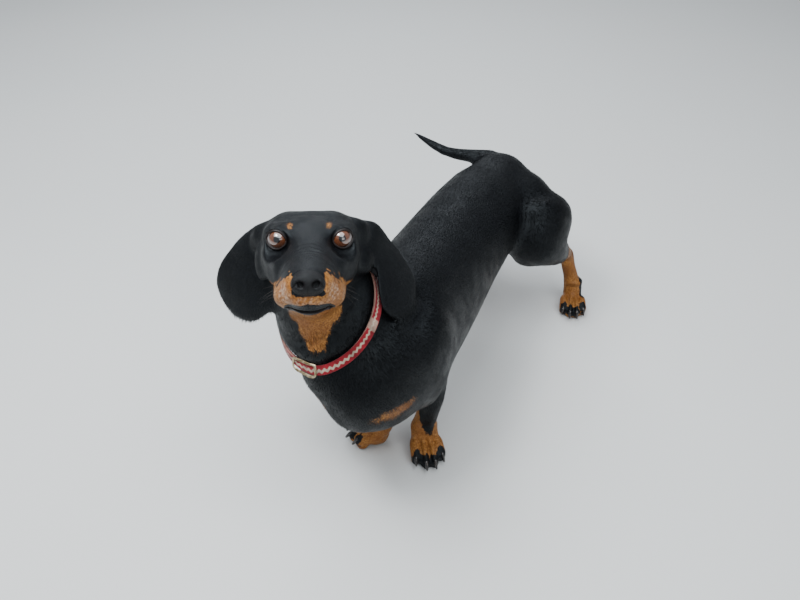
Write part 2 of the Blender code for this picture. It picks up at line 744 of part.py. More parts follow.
def collar(nodes):
    """The strap, the metal slide on it in front, and a small clip under the left ear."""
    half = COLLAR_WIDTH / 2
    low, high = neck_radii(nodes, -half), neck_radii(nodes, half)
    middle = np.maximum(neck_radii(nodes, 0), (low + high) / 2)
    low, high = low + (middle - (low + high) / 2), high + (middle - (low + high) / 2)

    def on_strap(angle, across, above):
        """A point at a distance across the strap and another out from its inner face."""
        at = (angle / (2 * math.pi) * COLLAR_STEPS) % COLLAR_STEPS
        before, share = int(at), at % 1
        pair = ((before % COLLAR_STEPS, 1 - share), ((before + 1) % COLLAR_STEPS, share))
        lower = sum(weight * low[k] for k, weight in pair)
        upper = sum(weight * high[k] for k, weight in pair)
        lean = math.atan2(upper - lower, COLLAR_WIDTH)
        radius = (lower + upper) / 2 + across * math.sin(lean) + above * math.cos(lean)
        rise = across * math.cos(lean) - above * math.sin(lean)
        return COLLAR_AT + COLLAR_WAY * rise + collar_way(angle) * radius

    edge = COLLAR_THICK * 0.25
    section = [
        (-half, 0), (half, 0), (half, COLLAR_THICK - edge), (half - edge, COLLAR_THICK),
        (-half + edge, COLLAR_THICK), (-half, COLLAR_THICK - edge),
    ]
    sections = [
        [on_strap(2 * math.pi * step / COLLAR_STEPS, across, above) for across, above in section]
        for step in range(COLLAR_STEPS)
    ]
    strap = ring("collar_strap", sections, PARTS)

    # The slide is a rounded frame that lies on the strap
    reach = float(np.mean(low)) + COLLAR_THICK
    half_angle = SLIDE_LENGTH / 2 / reach
    tall = half + SLIDE_BAR
    above = COLLAR_THICK + GAP + SLIDE_BAR
    corner = 6
    centres = []
    for step in range(4 * corner):
        angle = 2 * math.pi * (step + 0.5) / (4 * corner)
        across = math.copysign(abs(math.cos(angle)) ** 0.35, math.cos(angle))
        rise = math.copysign(abs(math.sin(angle)) ** 0.35, math.sin(angle))
        centres.append(on_strap(SLIDE_AT + across * half_angle, rise * tall, above))
    middle_point = sum(centres, Vector()) / len(centres)
    out = collar_way(SLIDE_AT)
    bars = []
    for centre in centres:
        sideways = (centre - middle_point).normalized()
        bars.append([
            centre + (sideways * math.cos(turn) + out * math.sin(turn)) * SLIDE_BAR
            for turn in (2 * math.pi * k / 8 for k in range(8))
        ])
    slide = ring("collar_slide", bars, PARTS)
    cut_away(slide, swollen(strap, GAP), "EXACT")

    at = on_strap(CLIP_AT, 0.001, COLLAR_THICK + 0.0030)
    turned = collar_way(CLIP_AT).to_track_quat("Y", "Z")
    clip = mass("collar_clip", (0, 0, 0), (0.0062, 0.0050, 0.0080),
                place=Matrix.Translation(at) @ turned.to_matrix().to_4x4(), segments=15)
    FORMS.objects.unlink(clip)
    PARTS.objects.link(clip)
    cut_away(clip, swollen(strap, GAP), "EXACT")


def thinned(source, name, triangles):
    """A copy of the skin with about this many triangles."""
    copy = add_mesh(name, source.data.copy(), FORMS)
    thin = copy.modifiers.new("Decimate", "DECIMATE")
    thin.ratio = triangles / (2 * len(copy.data.polygons))
    return settle(copy)


HEAD_CUT_AT = HEAD @ Vector((0, 0.062, -0.042))
HEAD_CUT_WAY = HEAD.to_3x3() @ Vector((0, -0.57, 0.82))
NECK_CUT_AT = Vector((0.000, -0.036, 0.200))
NECK_CUT_WAY = Vector((-0.20, -0.50, 0.84))
ELBOW_CUT = 0.080
WRIST_CUT = 0.030
ANKLE_CUT = 0.026
TAIL_CUT_X = -0.040
TAIL_MIDDLE_X = -0.080


def part_nodes(for_head, for_paws, plain):
    """Parts the skin into nodes, from the far ends inwards.

    The head and paws are taken from the finer skins and the rest from the plain one, which is
    left as the torso."""
    down = Vector((0, 0, -1))
    right = Vector((-1, 0, 0))
    part_off(plain, plain, "tail_tip", block_region((TAIL_MIDDLE_X, 0.322, 0.20), right, (0.12, 0.08, 0.06)))
    part_off(plain, plain, "tail_root", block_region((TAIL_CUT_X, 0.322, 0.201), right, (0.12, 0.056, 0.050)))
    for side, foot in FOREFEET.items():
        at, out = foot["foot"], foot["side"]
        start = Vector((at.x + 0.014 * out, at.y - 0.012, WRIST_CUT))
        part_off(plain, for_paws, "forepaw_" + side, block_region(start, down, (0.08, 0.075, 0.11)))
        start = Vector((0.016 + 0.045 * out, 0.005, ELBOW_CUT))
        part_off(plain, plain, "foreleg_" + side, block_region(start, down, (0.09, 0.09, 0.10)))
    for side, foot in HINDFEET.items():
        at, out = foot["foot"], foot["side"]
        start = Vector((at.x, at.y - 0.012, ANKLE_CUT))
        part_off(plain, for_paws, "hindpaw_" + side, block_region(start, down, (0.08, 0.09, 0.12)))
        start = Vector((foot["knee"].x, 0.285, foot["knee"].z - 0.012))
        part_off(plain, plain, "shank_" + side, block_region(start, (0, 0.25, -1), (0.14, 0.11, 0.20)))
        centre = (0.014 + 0.070 * out, 0.286, 0.138)
        part_off(plain, plain, "thigh_" + side, round_region(centre, (0.052, 0.060, 0.054)))
    part_off(plain, for_head, "head", block_region(HEAD_CUT_AT, HEAD_CUT_WAY, (0.2, 0.3, 0.3)))
    part_off(plain, plain, "neck", block_region(NECK_CUT_AT, NECK_CUT_WAY, (0.2, 0.3, 0.3)))
    plain.name = "torso"
    PARTS.objects.link(plain)
    FORMS.objects.unlink(plain)
    return {obj.name: obj for obj in PARTS.objects}


def stand_on_origin():
    """Moves everything so that the middle of the whole is over the origin, standing on z = 0."""
    points = np.array([v.co for obj in PARTS.objects for v in obj.data.vertices])
    low, high = points.min(axis=0), points.max(axis=0)
    shift = Matrix.Translation((-(low[0] + high[0]) / 2, -(low[1] + high[1]) / 2, -low[2]))
    for obj in PARTS.objects:
        obj.data.transform(shift)
        obj.data.name = obj.name


def main():
    pieces = [*trunk_and_neck(), *limb_masses(), *skull_masses(), tail()]
    for side, foot in FOREFEET.items():
        pieces.append(foreleg(side, foot))
    for side, foot in HINDFEET.items():
        pieces.extend(hindleg(side, foot))
    form = fuse("form", pieces, FORM_VOXEL, 13)
    details = [form, *nose_masses(), *lid_masses()]
    for side, foot in FOREFEET.items():
        details.extend(paw(side, foot, FOREPAW, "forepaw_" + side))
    for side, foot in HINDFEET.items():
        details.extend(paw(side, foot, HINDPAW, "hindpaw_" + side))
    skin = fuse("skin", details, SKIN_VOXEL, 2)
    nodes = part_nodes(
        thinned(skin, "for_head", HEAD_TRIANGLES),
        thinned(skin, "for_paws", PAW_TRIANGLES),
        thinned(skin, "plain", PLAIN_TRIANGLES),
    )
    carve_head(nodes["head"])
    for side, foot in FOREFEET.items():
        finish_paw(nodes["forepaw_" + side], foot, FOREPAW)
    for side, foot in HINDFEET.items():
        finish_paw(nodes["hindpaw_" + side], foot, HINDPAW)
    flesh = [nodes[name] for name in ("head", "neck", "torso")]
    for side in EARS:
        made = ear(side)
        for near in flesh:
            cut_away(made, swollen(near, GAP), "EXACT")
    for side, frame in eye_frames():
        bm = bmesh.new()
        bmesh.ops.create_uvsphere(bm, u_segments=18, v_segments=10, radius=EYE_RADIUS, matrix=frame)
        from_bmesh("eye_" + side, bm, PARTS)
    collar(nodes)
    for obj in list(CUTTERS.objects) + list(FORMS.objects):
        bpy.data.objects.remove(obj)
    stand_on_origin()


clear_scene()
PARTS = new_collection("dachshund")
CUTTERS = new_collection("cutters")
FORMS = new_collection("forms")
main()
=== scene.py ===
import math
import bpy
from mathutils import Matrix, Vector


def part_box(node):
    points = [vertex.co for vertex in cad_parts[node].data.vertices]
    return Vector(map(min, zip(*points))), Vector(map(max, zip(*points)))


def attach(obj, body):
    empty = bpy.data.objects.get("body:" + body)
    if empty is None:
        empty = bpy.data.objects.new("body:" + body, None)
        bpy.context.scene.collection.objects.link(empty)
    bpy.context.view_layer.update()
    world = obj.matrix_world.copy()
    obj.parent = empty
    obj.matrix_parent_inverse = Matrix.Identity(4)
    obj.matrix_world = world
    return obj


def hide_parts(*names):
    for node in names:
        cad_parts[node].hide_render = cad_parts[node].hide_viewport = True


bl_info = {
    "name": "Smooth-haired dachshund",
    "version": (1, 0, 0),
    "blender": (4, 5, 0),
    "location": "3D View > Sidebar > Dachshund",
    "description": "Dresses the solid parts of a life-size black and tan dachshund",
    "category": "Object",
}

from contextlib import contextmanager

import bmesh
import bpy
import numpy as np
from mathutils import Matrix, Vector
from mathutils.bvhtree import BVHTree

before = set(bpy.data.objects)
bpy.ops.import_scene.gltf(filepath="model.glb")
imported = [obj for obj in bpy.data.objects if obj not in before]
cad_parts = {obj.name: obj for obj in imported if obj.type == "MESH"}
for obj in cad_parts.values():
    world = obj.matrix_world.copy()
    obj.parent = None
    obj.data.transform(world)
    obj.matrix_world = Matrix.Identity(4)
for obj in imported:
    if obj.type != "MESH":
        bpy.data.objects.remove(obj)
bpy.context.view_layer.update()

# The flesh that the skin stands for
FLESH = (
    "head", "neck", "torso", "tail_root", "tail_tip", "ear_left", "ear_right",
    "thigh_left", "thigh_right", "shank_left", "shank_right",
    "foreleg_left", "foreleg_right",
)
PAWS = ("forepaw_left", "forepaw_right", "hindpaw_left", "hindpaw_right")

# The head's own frame: nose towards -Y, drawn for pupils a little further apart than they are
PUPILS_APART = 0.0550
PUPILS_DRAWN = 0.0576
HEAD_TURN = math.radians(32)
HEAD_LIFT = math.radians(25)
HEAD_ROLL = math.radians(2)
HEAD_SCALE = PUPILS_APART / PUPILS_DRAWN
EYE_IN_HEAD = Vector((0.0263, 0.0075, 0.0))
HEAD_AT = Vector((-0.0200, -0.0810, 0.3150))


def box_middle(node):
    low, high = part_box(node)
    return (low + high) / 2


LEVEL_TURN = Matrix.Rotation(HEAD_TURN, 4, "Z")
HEAD_SPIN = LEVEL_TURN @ Matrix.Rotation(-HEAD_LIFT, 4, "X") @ Matrix.Rotation(HEAD_ROLL, 4, "Y")
EYES = {"left": box_middle("eye_left"), "right": box_middle("eye_right")}
HEAD_ORIGIN = (EYES["left"] + EYES["right"]) / 2 - HEAD_SPIN @ Vector((0, EYE_IN_HEAD.y * HEAD_SCALE, 0))
HEAD = Matrix.Translation(HEAD_ORIGIN) @ HEAD_SPIN @ Matrix.Scale(HEAD_SCALE, 4)
LEVEL_HEAD = Matrix.Translation(HEAD_ORIGIN) @ LEVEL_TURN @ Matrix.Scale(HEAD_SCALE, 4)

# Body places are told from the point between the elbows, on the floor
BODY = Matrix.Translation(HEAD_ORIGIN - HEAD_AT)
EYE_RADIUS = (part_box("eye_left")[1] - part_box("eye_left")[0]).z / 2

CAMERA_AT = BODY @ Vector((0.3057, -0.5617, 0.7097))
CAMERA_TURN = math.radians(26.8)
CAMERA_DOWN = math.radians(38.5)
CAMERA_LENS = 38.25

# Each foot: the place under its ankle, how far its toes turn out, its side, and its width, length and height
FORE_SIZE = (0.041, 0.050, 0.025)
HIND_SIZE = (0.036, 0.044, 0.023)
FEET = {
    "forepaw_left": {"at": (0.044, 0.015, 0), "turn": 38, "side": 1, "size": FORE_SIZE},
    "forepaw_right": {"at": (-0.003, 0.004, 0), "turn": 66, "side": -1, "size": FORE_SIZE},
    "hindpaw_left": {"at": (0.111, 0.328, 0), "turn": 22, "side": 1, "size": HIND_SIZE},
    "hindpaw_right": {"at": (-0.050, 0.322, 0), "turn": 12, "side": -1, "size": HIND_SIZE},
}
# Each toe: how far across the foot it is, how far forward, and how many degrees it splays
TOES = ((-0.78, 0.44, -12), (-0.27, 0.60, -3), (0.27, 0.60, 3), (0.78, 0.44, 12))


def foot_frame(name):
    foot = FEET[name]
    turn = math.radians(foot["turn"]) * foot["side"]
    return BODY @ Matrix.Translation(foot["at"]) @ Matrix.Rotation(turn, 4, "Z")


# Mesh helpers


def link(obj):
    bpy.context.scene.collection.objects.link(obj)
    return obj


@contextmanager
def editing(mesh):
    """The mesh as a bmesh, which is written back at the end."""
    bm = bmesh.new()
    bm.from_mesh(mesh)
    yield bm
    bm.to_mesh(mesh)
    bm.free()


def new_object(name, points, faces, smooth=True):
    mesh = bpy.data.meshes.new(name)
    mesh.from_pydata([tuple(p) for p in points], [], [tuple(int(i) for i in f) for f in faces])
    mesh.validate()
    mesh.update()
    if smooth:
        mesh.shade_smooth()
    return link(bpy.data.objects.new(name, mesh))


def facing_out(obj, merge=0.0):
    """Merges doubles if asked, and turns every face outwards."""
    with editing(obj.data) as bm:
        if merge:
            bmesh.ops.remove_doubles(bm, verts=bm.verts, dist=merge)
        bmesh.ops.recalc_face_normals(bm, faces=bm.faces)
    return obj


def settle(obj):
    """Applies the object's modifiers to its own mesh."""
    graph = bpy.context.evaluated_depsgraph_get()
    shape = obj.evaluated_get(graph)
    mesh = bpy.data.meshes.new_from_object(shape, preserve_all_data_layers=True, depsgraph=graph)
    obj.modifiers.clear()
    obj.data = mesh
    return obj


def smooth_rows(rows, per_span):
    """More rows between the given ones, on a smooth curve through them all."""
    rows = np.array(rows, float)
    padded = np.vstack([2 * rows[0] - rows[1], rows, 2 * rows[-1] - rows[-2]])
    made = []
    for a, b, c, d in zip(padded, padded[1:], padded[2:], padded[3:]):
        for step in range(per_span):
            t = step / per_span
            made.append(0.5 * (2 * b + (c - a) * t + (2 * a - 5 * b + 4 * c - d) * t**2
                               + (3 * b - a - 3 * c + d) * t**3))
    made.append(rows[-1])
    return np.array(made)


class Form:
    """Gathers closed shapes into one list of points and faces."""

    def __init__(self):
        self.points, self.faces = [], []

    def add(self, points, faces):
        start = len(self.points)
        self.points.extend(points)
        self.faces.extend([[start + i for i in face] for face in faces])

    def ball(self, centre, radii, place, around=20, along=12):
        shape = place @ Matrix.Translation(centre) @ Matrix.Diagonal((*radii, 1))
        points = [shape @ Vector((0, 0, -1))]
        for row in range(1, along):
            low = math.pi * row / along
            ring = math.sin(low)
            for k in range(around):
                angle = 2 * math.pi * k / around
                point = Vector((ring * math.cos(angle), ring * math.sin(angle), -math.cos(low)))
                points.append(shape @ point)
        points.append(shape @ Vector((0, 0, 1)))
        last = len(points) - 1
        faces = []
        for k in range(around):
            n = (k + 1) % around
            faces.append((0, 1 + n, 1 + k))
            for row in range(along - 2):
                a, b = 1 + row * around, 1 + (row + 1) * around
                faces.append((a + k, a + n, b + n, b + k))
            top = 1 + (along - 2) * around
            faces.append((top + k, top + n, last))
        self.add(points, faces)

    def tube(self, rows, up, place, sides=12, per_span=3, closed=False):
        """Each row is x, y, z, half width, rise and drop; up sets which way is up across it."""
        if closed:
            rows = np.array(rows, float)
            centres = rows[:, :3]
            along = np.roll(centres, -1, axis=0) - np.roll(centres, 1, axis=0)
        else:
            rows = smooth_rows(rows, per_span)
            centres = rows[:, :3]
            along = np.gradient(centres, axis=0)
        points = []
        for centre, direction, (half, rise, drop) in zip(centres, along, rows[:, 3:]):
            tangent = Vector(direction).normalized()
            side = tangent.cross(Vector(up)).normalized()
            above = side.cross(tangent).normalized()
            for k in range(sides):
                angle = 2 * math.pi * k / sides
                height = math.sin(angle) * (rise if math.sin(angle) > 0 else drop)
                points.append(place @ (Vector(centre) + side * (math.cos(angle) * half) + above * height))
        count = len(rows)
        faces = []
        for r in range(count if closed else count - 1):
            a, b = r * sides, ((r + 1) % count) * sides
            for k in range(sides):
                n = (k + 1) % sides
                faces.append((a + k, b + k, b + n, a + n))
        if not closed:
            faces.append(tuple(range(sides)))
            faces.append(tuple(reversed(range((count - 1) * sides, count * sides))))
        self.add(points, faces)

    def make(self, name):
        return facing_out(new_object(name, self.points, self.faces))


def rows_of(items, key, width, kind=np.float32):
    """One row of values for each vertex, edge or triangle."""
    flat = np.empty(len(items) * width, kind)
    items.foreach_get(key, flat)
    return flat.reshape(-1, width)


def points_of(mesh):
    return rows_of(mesh.vertices, "co", 3).astype(float)


def set_points(mesh, points):
    mesh.vertices.foreach_set("co", points.astype(np.float32).ravel())
    mesh.update()


def normals_of(mesh):
    return rows_of(mesh.vertices, "normal", 3).astype(float)


def moved(place, points):
    matrix = np.array(place)
    return points @ matrix[:3, :3].T + matrix[:3, 3]


def into(place, points):
    """The points as seen from a frame."""
    return moved(place.inverted(), points)


def steps(value, low, high):
    """Smoothly from 0 at the low value to 1 at the high one."""
    t = np.clip((value - low) / (high - low), 0, 1)
    return t * t * (3 - 2 * t)


def patch(points, place, centre, radii, soft=0.25, turn=(0, 0, 0)):
    """1 inside an ellipsoid, falling to 0 over its soft edge."""
    spin = Matrix.Identity(4)
    for angle, axis in zip(turn, "XYZ"):
        spin = Matrix.Rotation(math.radians(angle), 4, axis) @ spin
    local = into(place @ Matrix.Translation(centre) @ spin, points) / np.array(radii)
    return 1 - steps(np.linalg.norm(local, axis=1), 1 - soft, 1 + soft)


def ear_patch(points, side, swell, soft=0.1):
    """1 inside the ellipsoid of an ear's box, made larger by the swell."""
    low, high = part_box("ear_" + side)
    middle = Matrix.Translation((low + high) / 2)
    return patch(points, middle, (0, 0, 0), tuple((high - low) / 2 * swell), soft)


def ripple(points, size, seed):
    """Smooth pseudo-random values from -1 to 1, about as wide as the size."""
    draw = np.random.default_rng(seed)
    total = np.zeros(len(points))
    for _ in range(7):
        way = draw.normal(size=3)
        way /= np.linalg.norm(way) * size * draw.uniform(0.7, 1.6) / 6.3
        total += np.sin(points @ way + draw.uniform(0, 6.3))
    return total / 3.2


def store(mesh, name, values, kind="FLOAT"):
    key = "vector" if kind == "FLOAT_VECTOR" else "value"
    number = np.int32 if kind == "INT" else np.float32
    mesh.attributes.new(name, kind, "POINT").data.foreach_set(key, values.astype(number).ravel())


# Node and material helpers


def fill(tree, socket, value):
    """Links a socket to another one, or sets its value."""
    if isinstance(value, bpy.types.NodeSocket):
        tree.links.new(value, socket)
    else:
        socket.default_value = value


def add_node(tree, kind, inputs=(), **settings):
    made = tree.nodes.new(kind)
    for key, value in settings.items():
        setattr(made, key, value)
    for key, value in dict(inputs).items():
        fill(tree, made.inputs[key], value)
    return made


class Graph:
    """A short way to write a material's nodes."""

    def __init__(self, name):
        self.material = bpy.data.materials.new(name)
        self.material.use_nodes = True
        self.tree = self.material.node_tree
        self.shader = self.tree.nodes["Principled BSDF"]

    def node(self, kind, inputs=(), **settings):
        return add_node(self.tree, kind, inputs, **settings)

    def attribute(self, name):
        return self.node("ShaderNodeAttribute", attribute_name=name).outputs["Fac"]

    def place(self):
        return self.node("ShaderNodeTexCoord").outputs["Object"]

    def noise(self, vector, scale, detail, rough=0.5):
        return self.node("ShaderNodeTexNoise", {"Vector": vector, "Scale": scale, "Detail": detail,
                                                "Roughness": rough}).outputs[0]

    def math(self, operation, *values):
        return self.node("ShaderNodeMath", enumerate(values), operation=operation).outputs[0]

    def span(self, value, low, high, start=0.0, end=1.0):
        return self.node("ShaderNodeMapRange", {"Value": value, "From Min": low, "From Max": high,
                                                "To Min": start, "To Max": end},
                         interpolation_type="SMOOTHSTEP").outputs[0]

    def mix(self, share, a, b):
        made = self.node("ShaderNodeMix", {0: share}, data_type="RGBA")
        for key, colour in ((6, a), (7, b)):
            fill(self.tree, made.inputs[key], (*colour, 1) if isinstance(colour, tuple) else colour)
        return made.outputs[2]

    def bump(self, height, strength, distance, normal=None):
        inputs = {"Height": height, "Strength": strength, "Distance": distance}
        if normal is not None:
            inputs["Normal"] = normal
        return self.node("ShaderNodeBump", inputs).outputs[0]

    def finish(self, **values):
        for key, value in values.items():
            fill(self.tree, self.shader.inputs[key.replace("_", " ")], value)
        return self.material


def toned(colour, share):
    return tuple(c * share for c in colour)


def paint(obj, material):
    obj.data.materials.clear()
    obj.data.materials.append(material)
    return obj


COAT_SPECULAR = 0.20
COAT_TINT = (0.84, 0.95, 1.0, 1.0)


def coat_colour(graph, hair_scale):
    """Black with rust markings, the same on the skin and on the tufts over it."""
    place = graph.place()
    speck = graph.noise(place, hair_scale, 2.0)
    broad = graph.noise(place, 45.0, 2.0)
    black = graph.mix(graph.span(speck, 0.35, 0.75), (0.0012, 0.0013, 0.0018), (0.0052, 0.0056, 0.0072))
    rust = graph.mix(graph.span(speck, 0.3, 0.75), (0.175, 0.062, 0.0110), (0.46, 0.210, 0.056))
    rust = graph.mix(graph.span(broad, 0.35, 0.7, 0.0, 0.55), rust, (0.20, 0.062, 0.012))
    # Straw: the pale coat, which on the sides of the muzzle is a painted highlight
    straw = graph.mix(graph.span(speck, 0.3, 0.7), (0.20, 0.105, 0.052), (0.62, 0.47, 0.36))
    tan = graph.mix(graph.attribute("pale"), rust, straw)
    edge = graph.math("ADD", graph.attribute("tan"), graph.span(speck, 0.2, 0.8, -0.16, 0.16))
    return graph.mix(graph.span(edge, 0.36, 0.64), black, tan)


def coat_shine(graph):
    """The roughness of short fur, sleeker in soft patches."""
    return graph.span(graph.noise(graph.place(), 55.0, 3.0), 0.38, 0.62, 0.36, 0.54)


def skin_material():
    graph = Graph("coat on skin")
    colour = coat_colour(graph, 700.0)
    bare = graph.attribute("bare")
    nose = graph.attribute("nose")
    place = graph.place()
    leather_speck = graph.noise(place, 900.0, 3.0)
    leather = graph.mix(leather_speck, (0.0030, 0.0026, 0.0028), (0.0130, 0.0115, 0.0120))
    lip = graph.mix(leather_speck, (0.0030, 0.0022, 0.0022), (0.0130, 0.0095, 0.0090))
    colour = graph.mix(bare, colour, lip)
    colour = graph.mix(nose, colour, leather)
    pebbles = graph.node("ShaderNodeTexVoronoi", {"Vector": place, "Scale": 1500.0},
                         feature="DISTANCE_TO_EDGE")
    hairs = graph.noise(place, 1500.0, 3.0, 0.6)
    fur = graph.bump(graph.math("MULTIPLY", hairs, graph.math("SUBTRACT", 1.0, bare)), 0.55, 0.0006)
    height = graph.math("MULTIPLY", graph.span(pebbles.outputs["Distance"], 0.0, 0.22),
                        graph.math("MAXIMUM", nose, graph.math("MULTIPLY", bare, 0.35)))
    normal = graph.bump(height, 0.6, 0.00014, fur)
    rough = graph.math("MINIMUM", coat_shine(graph), graph.span(nose, 0.0, 1.0, 0.60, 0.36))
    return graph.finish(Base_Color=colour, Roughness=rough, Normal=normal,
                        Specular_IOR_Level=graph.span(bare, 0.2, 1.0, COAT_SPECULAR, 0.07),
                        Specular_Tint=COAT_TINT)


def tuft_material():
    graph = Graph("coat tufts")
    return graph.finish(Base_Color=coat_colour(graph, 900.0), Roughness=coat_shine(graph),
                        Specular_IOR_Level=COAT_SPECULAR, Specular_Tint=COAT_TINT)


# Sizes and colours a user would change


def length_setting(name, description, default, least=0.0):
    return bpy.props.FloatProperty(name=name, description=description, default=default, min=least,
                                   unit="LENGTH")


def colour_setting(name, description, default):
    return bpy.props.FloatVectorProperty(name=name, description=description, default=default,
                                         subtype="COLOR", min=0.0, max=1.0)


class SkinSettings(bpy.types.PropertyGroup):
    voxel: length_setting("Grain", "Size of the smallest fold that the skin holds", 0.00135, 0.0008)
    inset: length_setting("Coat depth", "How far the skin lies inside the solids", 0.0008)
    triangles: bpy.props.IntProperty(
        name="Triangles", description="Triangles kept before the face and feet are refined",
        default=142000, min=20000)


class CoatSettings(bpy.types.PropertyGroup):
    length: length_setting("Length", "Longest hairs, on the breech", 0.0090, 0.001)
    width: length_setting("Tuft width", "Width of a tuft at its root", 0.0008)
    lift: bpy.props.FloatProperty(
        name="Lift", description="Angle at which a tuft leaves the skin",
        default=math.radians(6.5), subtype="ANGLE")
    density: bpy.props.FloatProperty(
        name="Density", description="Tufts on a square metre of the back", default=780000.0, min=0.0)


class EyeSettings(bpy.types.PropertyGroup):
    iris: length_setting("Iris", "Radius of the iris", 0.0076)
    pupil: length_setting("Pupil", "Radius of the pupil", 0.0030)
    brown: colour_setting("Brown", "Colour of the iris", (0.105, 0.034, 0.014))


class CollarSettings(bpy.types.PropertyGroup):
    red: colour_setting("Webbing", "Colour of the strap", (0.28, 0.008, 0.018))
    cream: colour_setting("Stripe", "Colour of the zigzag stripe", (0.60, 0.50, 0.38))


class StageSettings(bpy.types.PropertyGroup):
    floor: colour_setting("Floor", "Colour of the floor", (0.72, 0.73, 0.72))
    light: bpy.props.FloatProperty(
        name="Light", description="Strength of the studio lights", default=1.0, min=0.0)


# The skin


def loose_copy(node, swell):
    """A merged copy of a solid, swollen so that it fuses with its neighbours."""
    copy = link(bpy.data.objects.new("flesh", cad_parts[node].data.copy()))
    facing_out(copy, merge=0.00001)
    push = copy.modifiers.new("Swell", "DISPLACE")
    push.strength = swell
    push.mid_level = 0
    return settle(copy)


def toe_points(size):
    """The tip of each toe of a foot of this size, and its splay."""
    width, length, height = size
    for across, reach, splay in TOES:
        yield Vector((across * width / 2 * 0.86, -reach * length, height * 0.42)), splay


def paw_forms(form, name):
    """The palm, arched toes, pads and ankle of one foot."""
    place = foot_frame(name)
    width, length, height = FEET[name]["size"]
    fore = name.startswith("fore")
    form.ball((0, -0.15 * length, 0.46 * height), (0.41 * width, 0.34 * length, 0.50 * height), place)
    form.ball((0, -0.06 * length, 0.22 * height), (0.30 * width, 0.22 * length, 0.26 * height), place)
    ankle = (0.0152, 0.0130, 0.0125) if fore else (0.0122, 0.0112, 0.0108)
    start = 0.002 if fore else 0.010
    form.tube([(0, start, 0.036, *ankle), (0, start, 0.028, *ankle), (0, start - 0.004, 0.020, *ankle),
               (0, start - 0.008, 0.012, ankle[0], 0.012, 0.0115)], (0, -1, 0), place, sides=18)
    for tip, _ in toe_points((width, length, height)):
        knuckle = tip + Vector((-0.12 * tip.x, 0.26 * length, 0.22 * height))
        form.tube([
            (*(knuckle + Vector((0, 0.16 * length, -0.001))), 0.0046, 0.0044, 0.0060),
            (*knuckle, 0.0064, 0.0066, 0.0080),
            (*tip.lerp(knuckle, 0.45), 0.0060, 0.0070, 0.0080),
            (*tip, 0.0057, 0.0062, 0.0078),
            (*(tip + Vector((0, -0.0056, -0.0004))), 0.0034, 0.0036, 0.0044),
        ], (0, 0, 1), place, sides=16, per_span=3)
        form.ball((tip.x, tip.y + 0.002, 0.0040), (0.0052, 0.0068, 0.0048), place)


# The collar's own frame: its axis along Z, the front of the neck towards X
COLLAR_WAY = Vector((-0.17, -0.59, 0.79)).normalized()
COLLAR_LEFT = (Vector((1, 0, 0)) - COLLAR_WAY * COLLAR_WAY.x).normalized()
COLLAR_FRONT = COLLAR_LEFT.cross(COLLAR_WAY)
COLLAR = BODY @ Matrix.Translation((-0.022, -0.045, 0.224)) @ Matrix(
    (COLLAR_FRONT, COLLAR_LEFT, COLLAR_WAY)).transposed().to_4x4()
# The strap's half width, the space left inside it, and the most that the skin is brought out to it
STRAP_HALF = 0.0047
STRAP_CLEARANCE = 0.0006
FILL_MOST = 0.0075


def fill_collar(points):
    """Brings the neck's loose skin out to the collar."""
    strap = into(COLLAR, points_of(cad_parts["collar_strap"].data))
    turn = np.arctan2(strap[:, 1], strap[:, 0])
    radius = np.hypot(strap[:, 0], strap[:, 1])
    slots = np.linspace(-math.pi, math.pi, 49)
    inner = np.array([radius[np.cos(turn - slot) > 0.99].min() for slot in slots])
    local = into(COLLAR, points)
    out = np.maximum(np.hypot(local[:, 0], local[:, 1]), 0.001)
    gap = np.interp(np.arctan2(local[:, 1], local[:, 0]), slots, inner) - STRAP_CLEARANCE - out
    push = np.clip(gap, 0, FILL_MOST) * (1 - steps(gap, 0.0090, 0.0150))
    push *= 1 - steps(np.abs(local[:, 2]), 0.006, 0.024)
    local[:, :2] *= (1 + push / out)[:, None]
    return moved(COLLAR, local)


def neighbour_smooth(mesh, points, rounds, share, weight):
    """Moves each point towards the middle of its neighbours, by its own weight."""
    a, b = rows_of(mesh.edges, "vertices", 2, np.int32).T
    count = len(points)
    degree = np.bincount(a, minlength=count) + np.bincount(b, minlength=count)
    degree = np.maximum(degree, 1)
    for _ in range(rounds):
        total = np.empty_like(points)
        for axis in range(3):
            column = points[:, axis]
            total[:, axis] = (np.bincount(a, column[b], count) + np.bincount(b, column[a], count)) / degree
        points = points + (total - points) * (share * weight)[:, None]
    return points


def region_weights(points):
    """How much each point may be smoothed: much on the trunk, little on fine forms."""
    low = into(BODY, points)
    head = into(HEAD, points)
    near_head = patch(points, HEAD, (0, -0.01, -0.01), (0.066, 0.105, 0.066), 0.12)
    weight = 1 - 0.84 * near_head
    for side in EYES:
        weight = np.minimum(weight, 1 - 0.90 * ear_patch(points, side, 1.25))
    weight *= 0.10 + 0.90 * steps(low[:, 2], 0.075, 0.115)
    weight *= 0.35 + 0.65 * steps(low[:, 2], 0.02, 0.04)
    tail = steps(low[:, 1], 0.300, 0.330) * steps(low[:, 0], 0.0, -0.02) * steps(low[:, 2], 0.165, 0.175)
    weight *= 1 - 0.90 * tail
    eyes = np.minimum(np.linalg.norm(points - np.array(EYES["left"]), axis=1),
                      np.linalg.norm(points - np.array(EYES["right"]), axis=1))
    weight *= 0.5 + 0.5 * steps(eyes, 0.011, 0.016)
    muzzle = steps(head[:, 1], -0.065, -0.080) * near_head
    return weight * (1 - 0.6 * muzzle)


def eye_frame(side):
    """The frame of one eye's opening, at the eyeball's middle and looking along -Y."""
    sign = 1 if side == "left" else -1
    turn = Matrix.Rotation(math.radians(20) * sign, 4, "Z") @ Matrix.Rotation(math.radians(-8) * sign, 4, "Y")
    return Matrix.Translation(EYES[side]) @ HEAD_SPIN @ turn


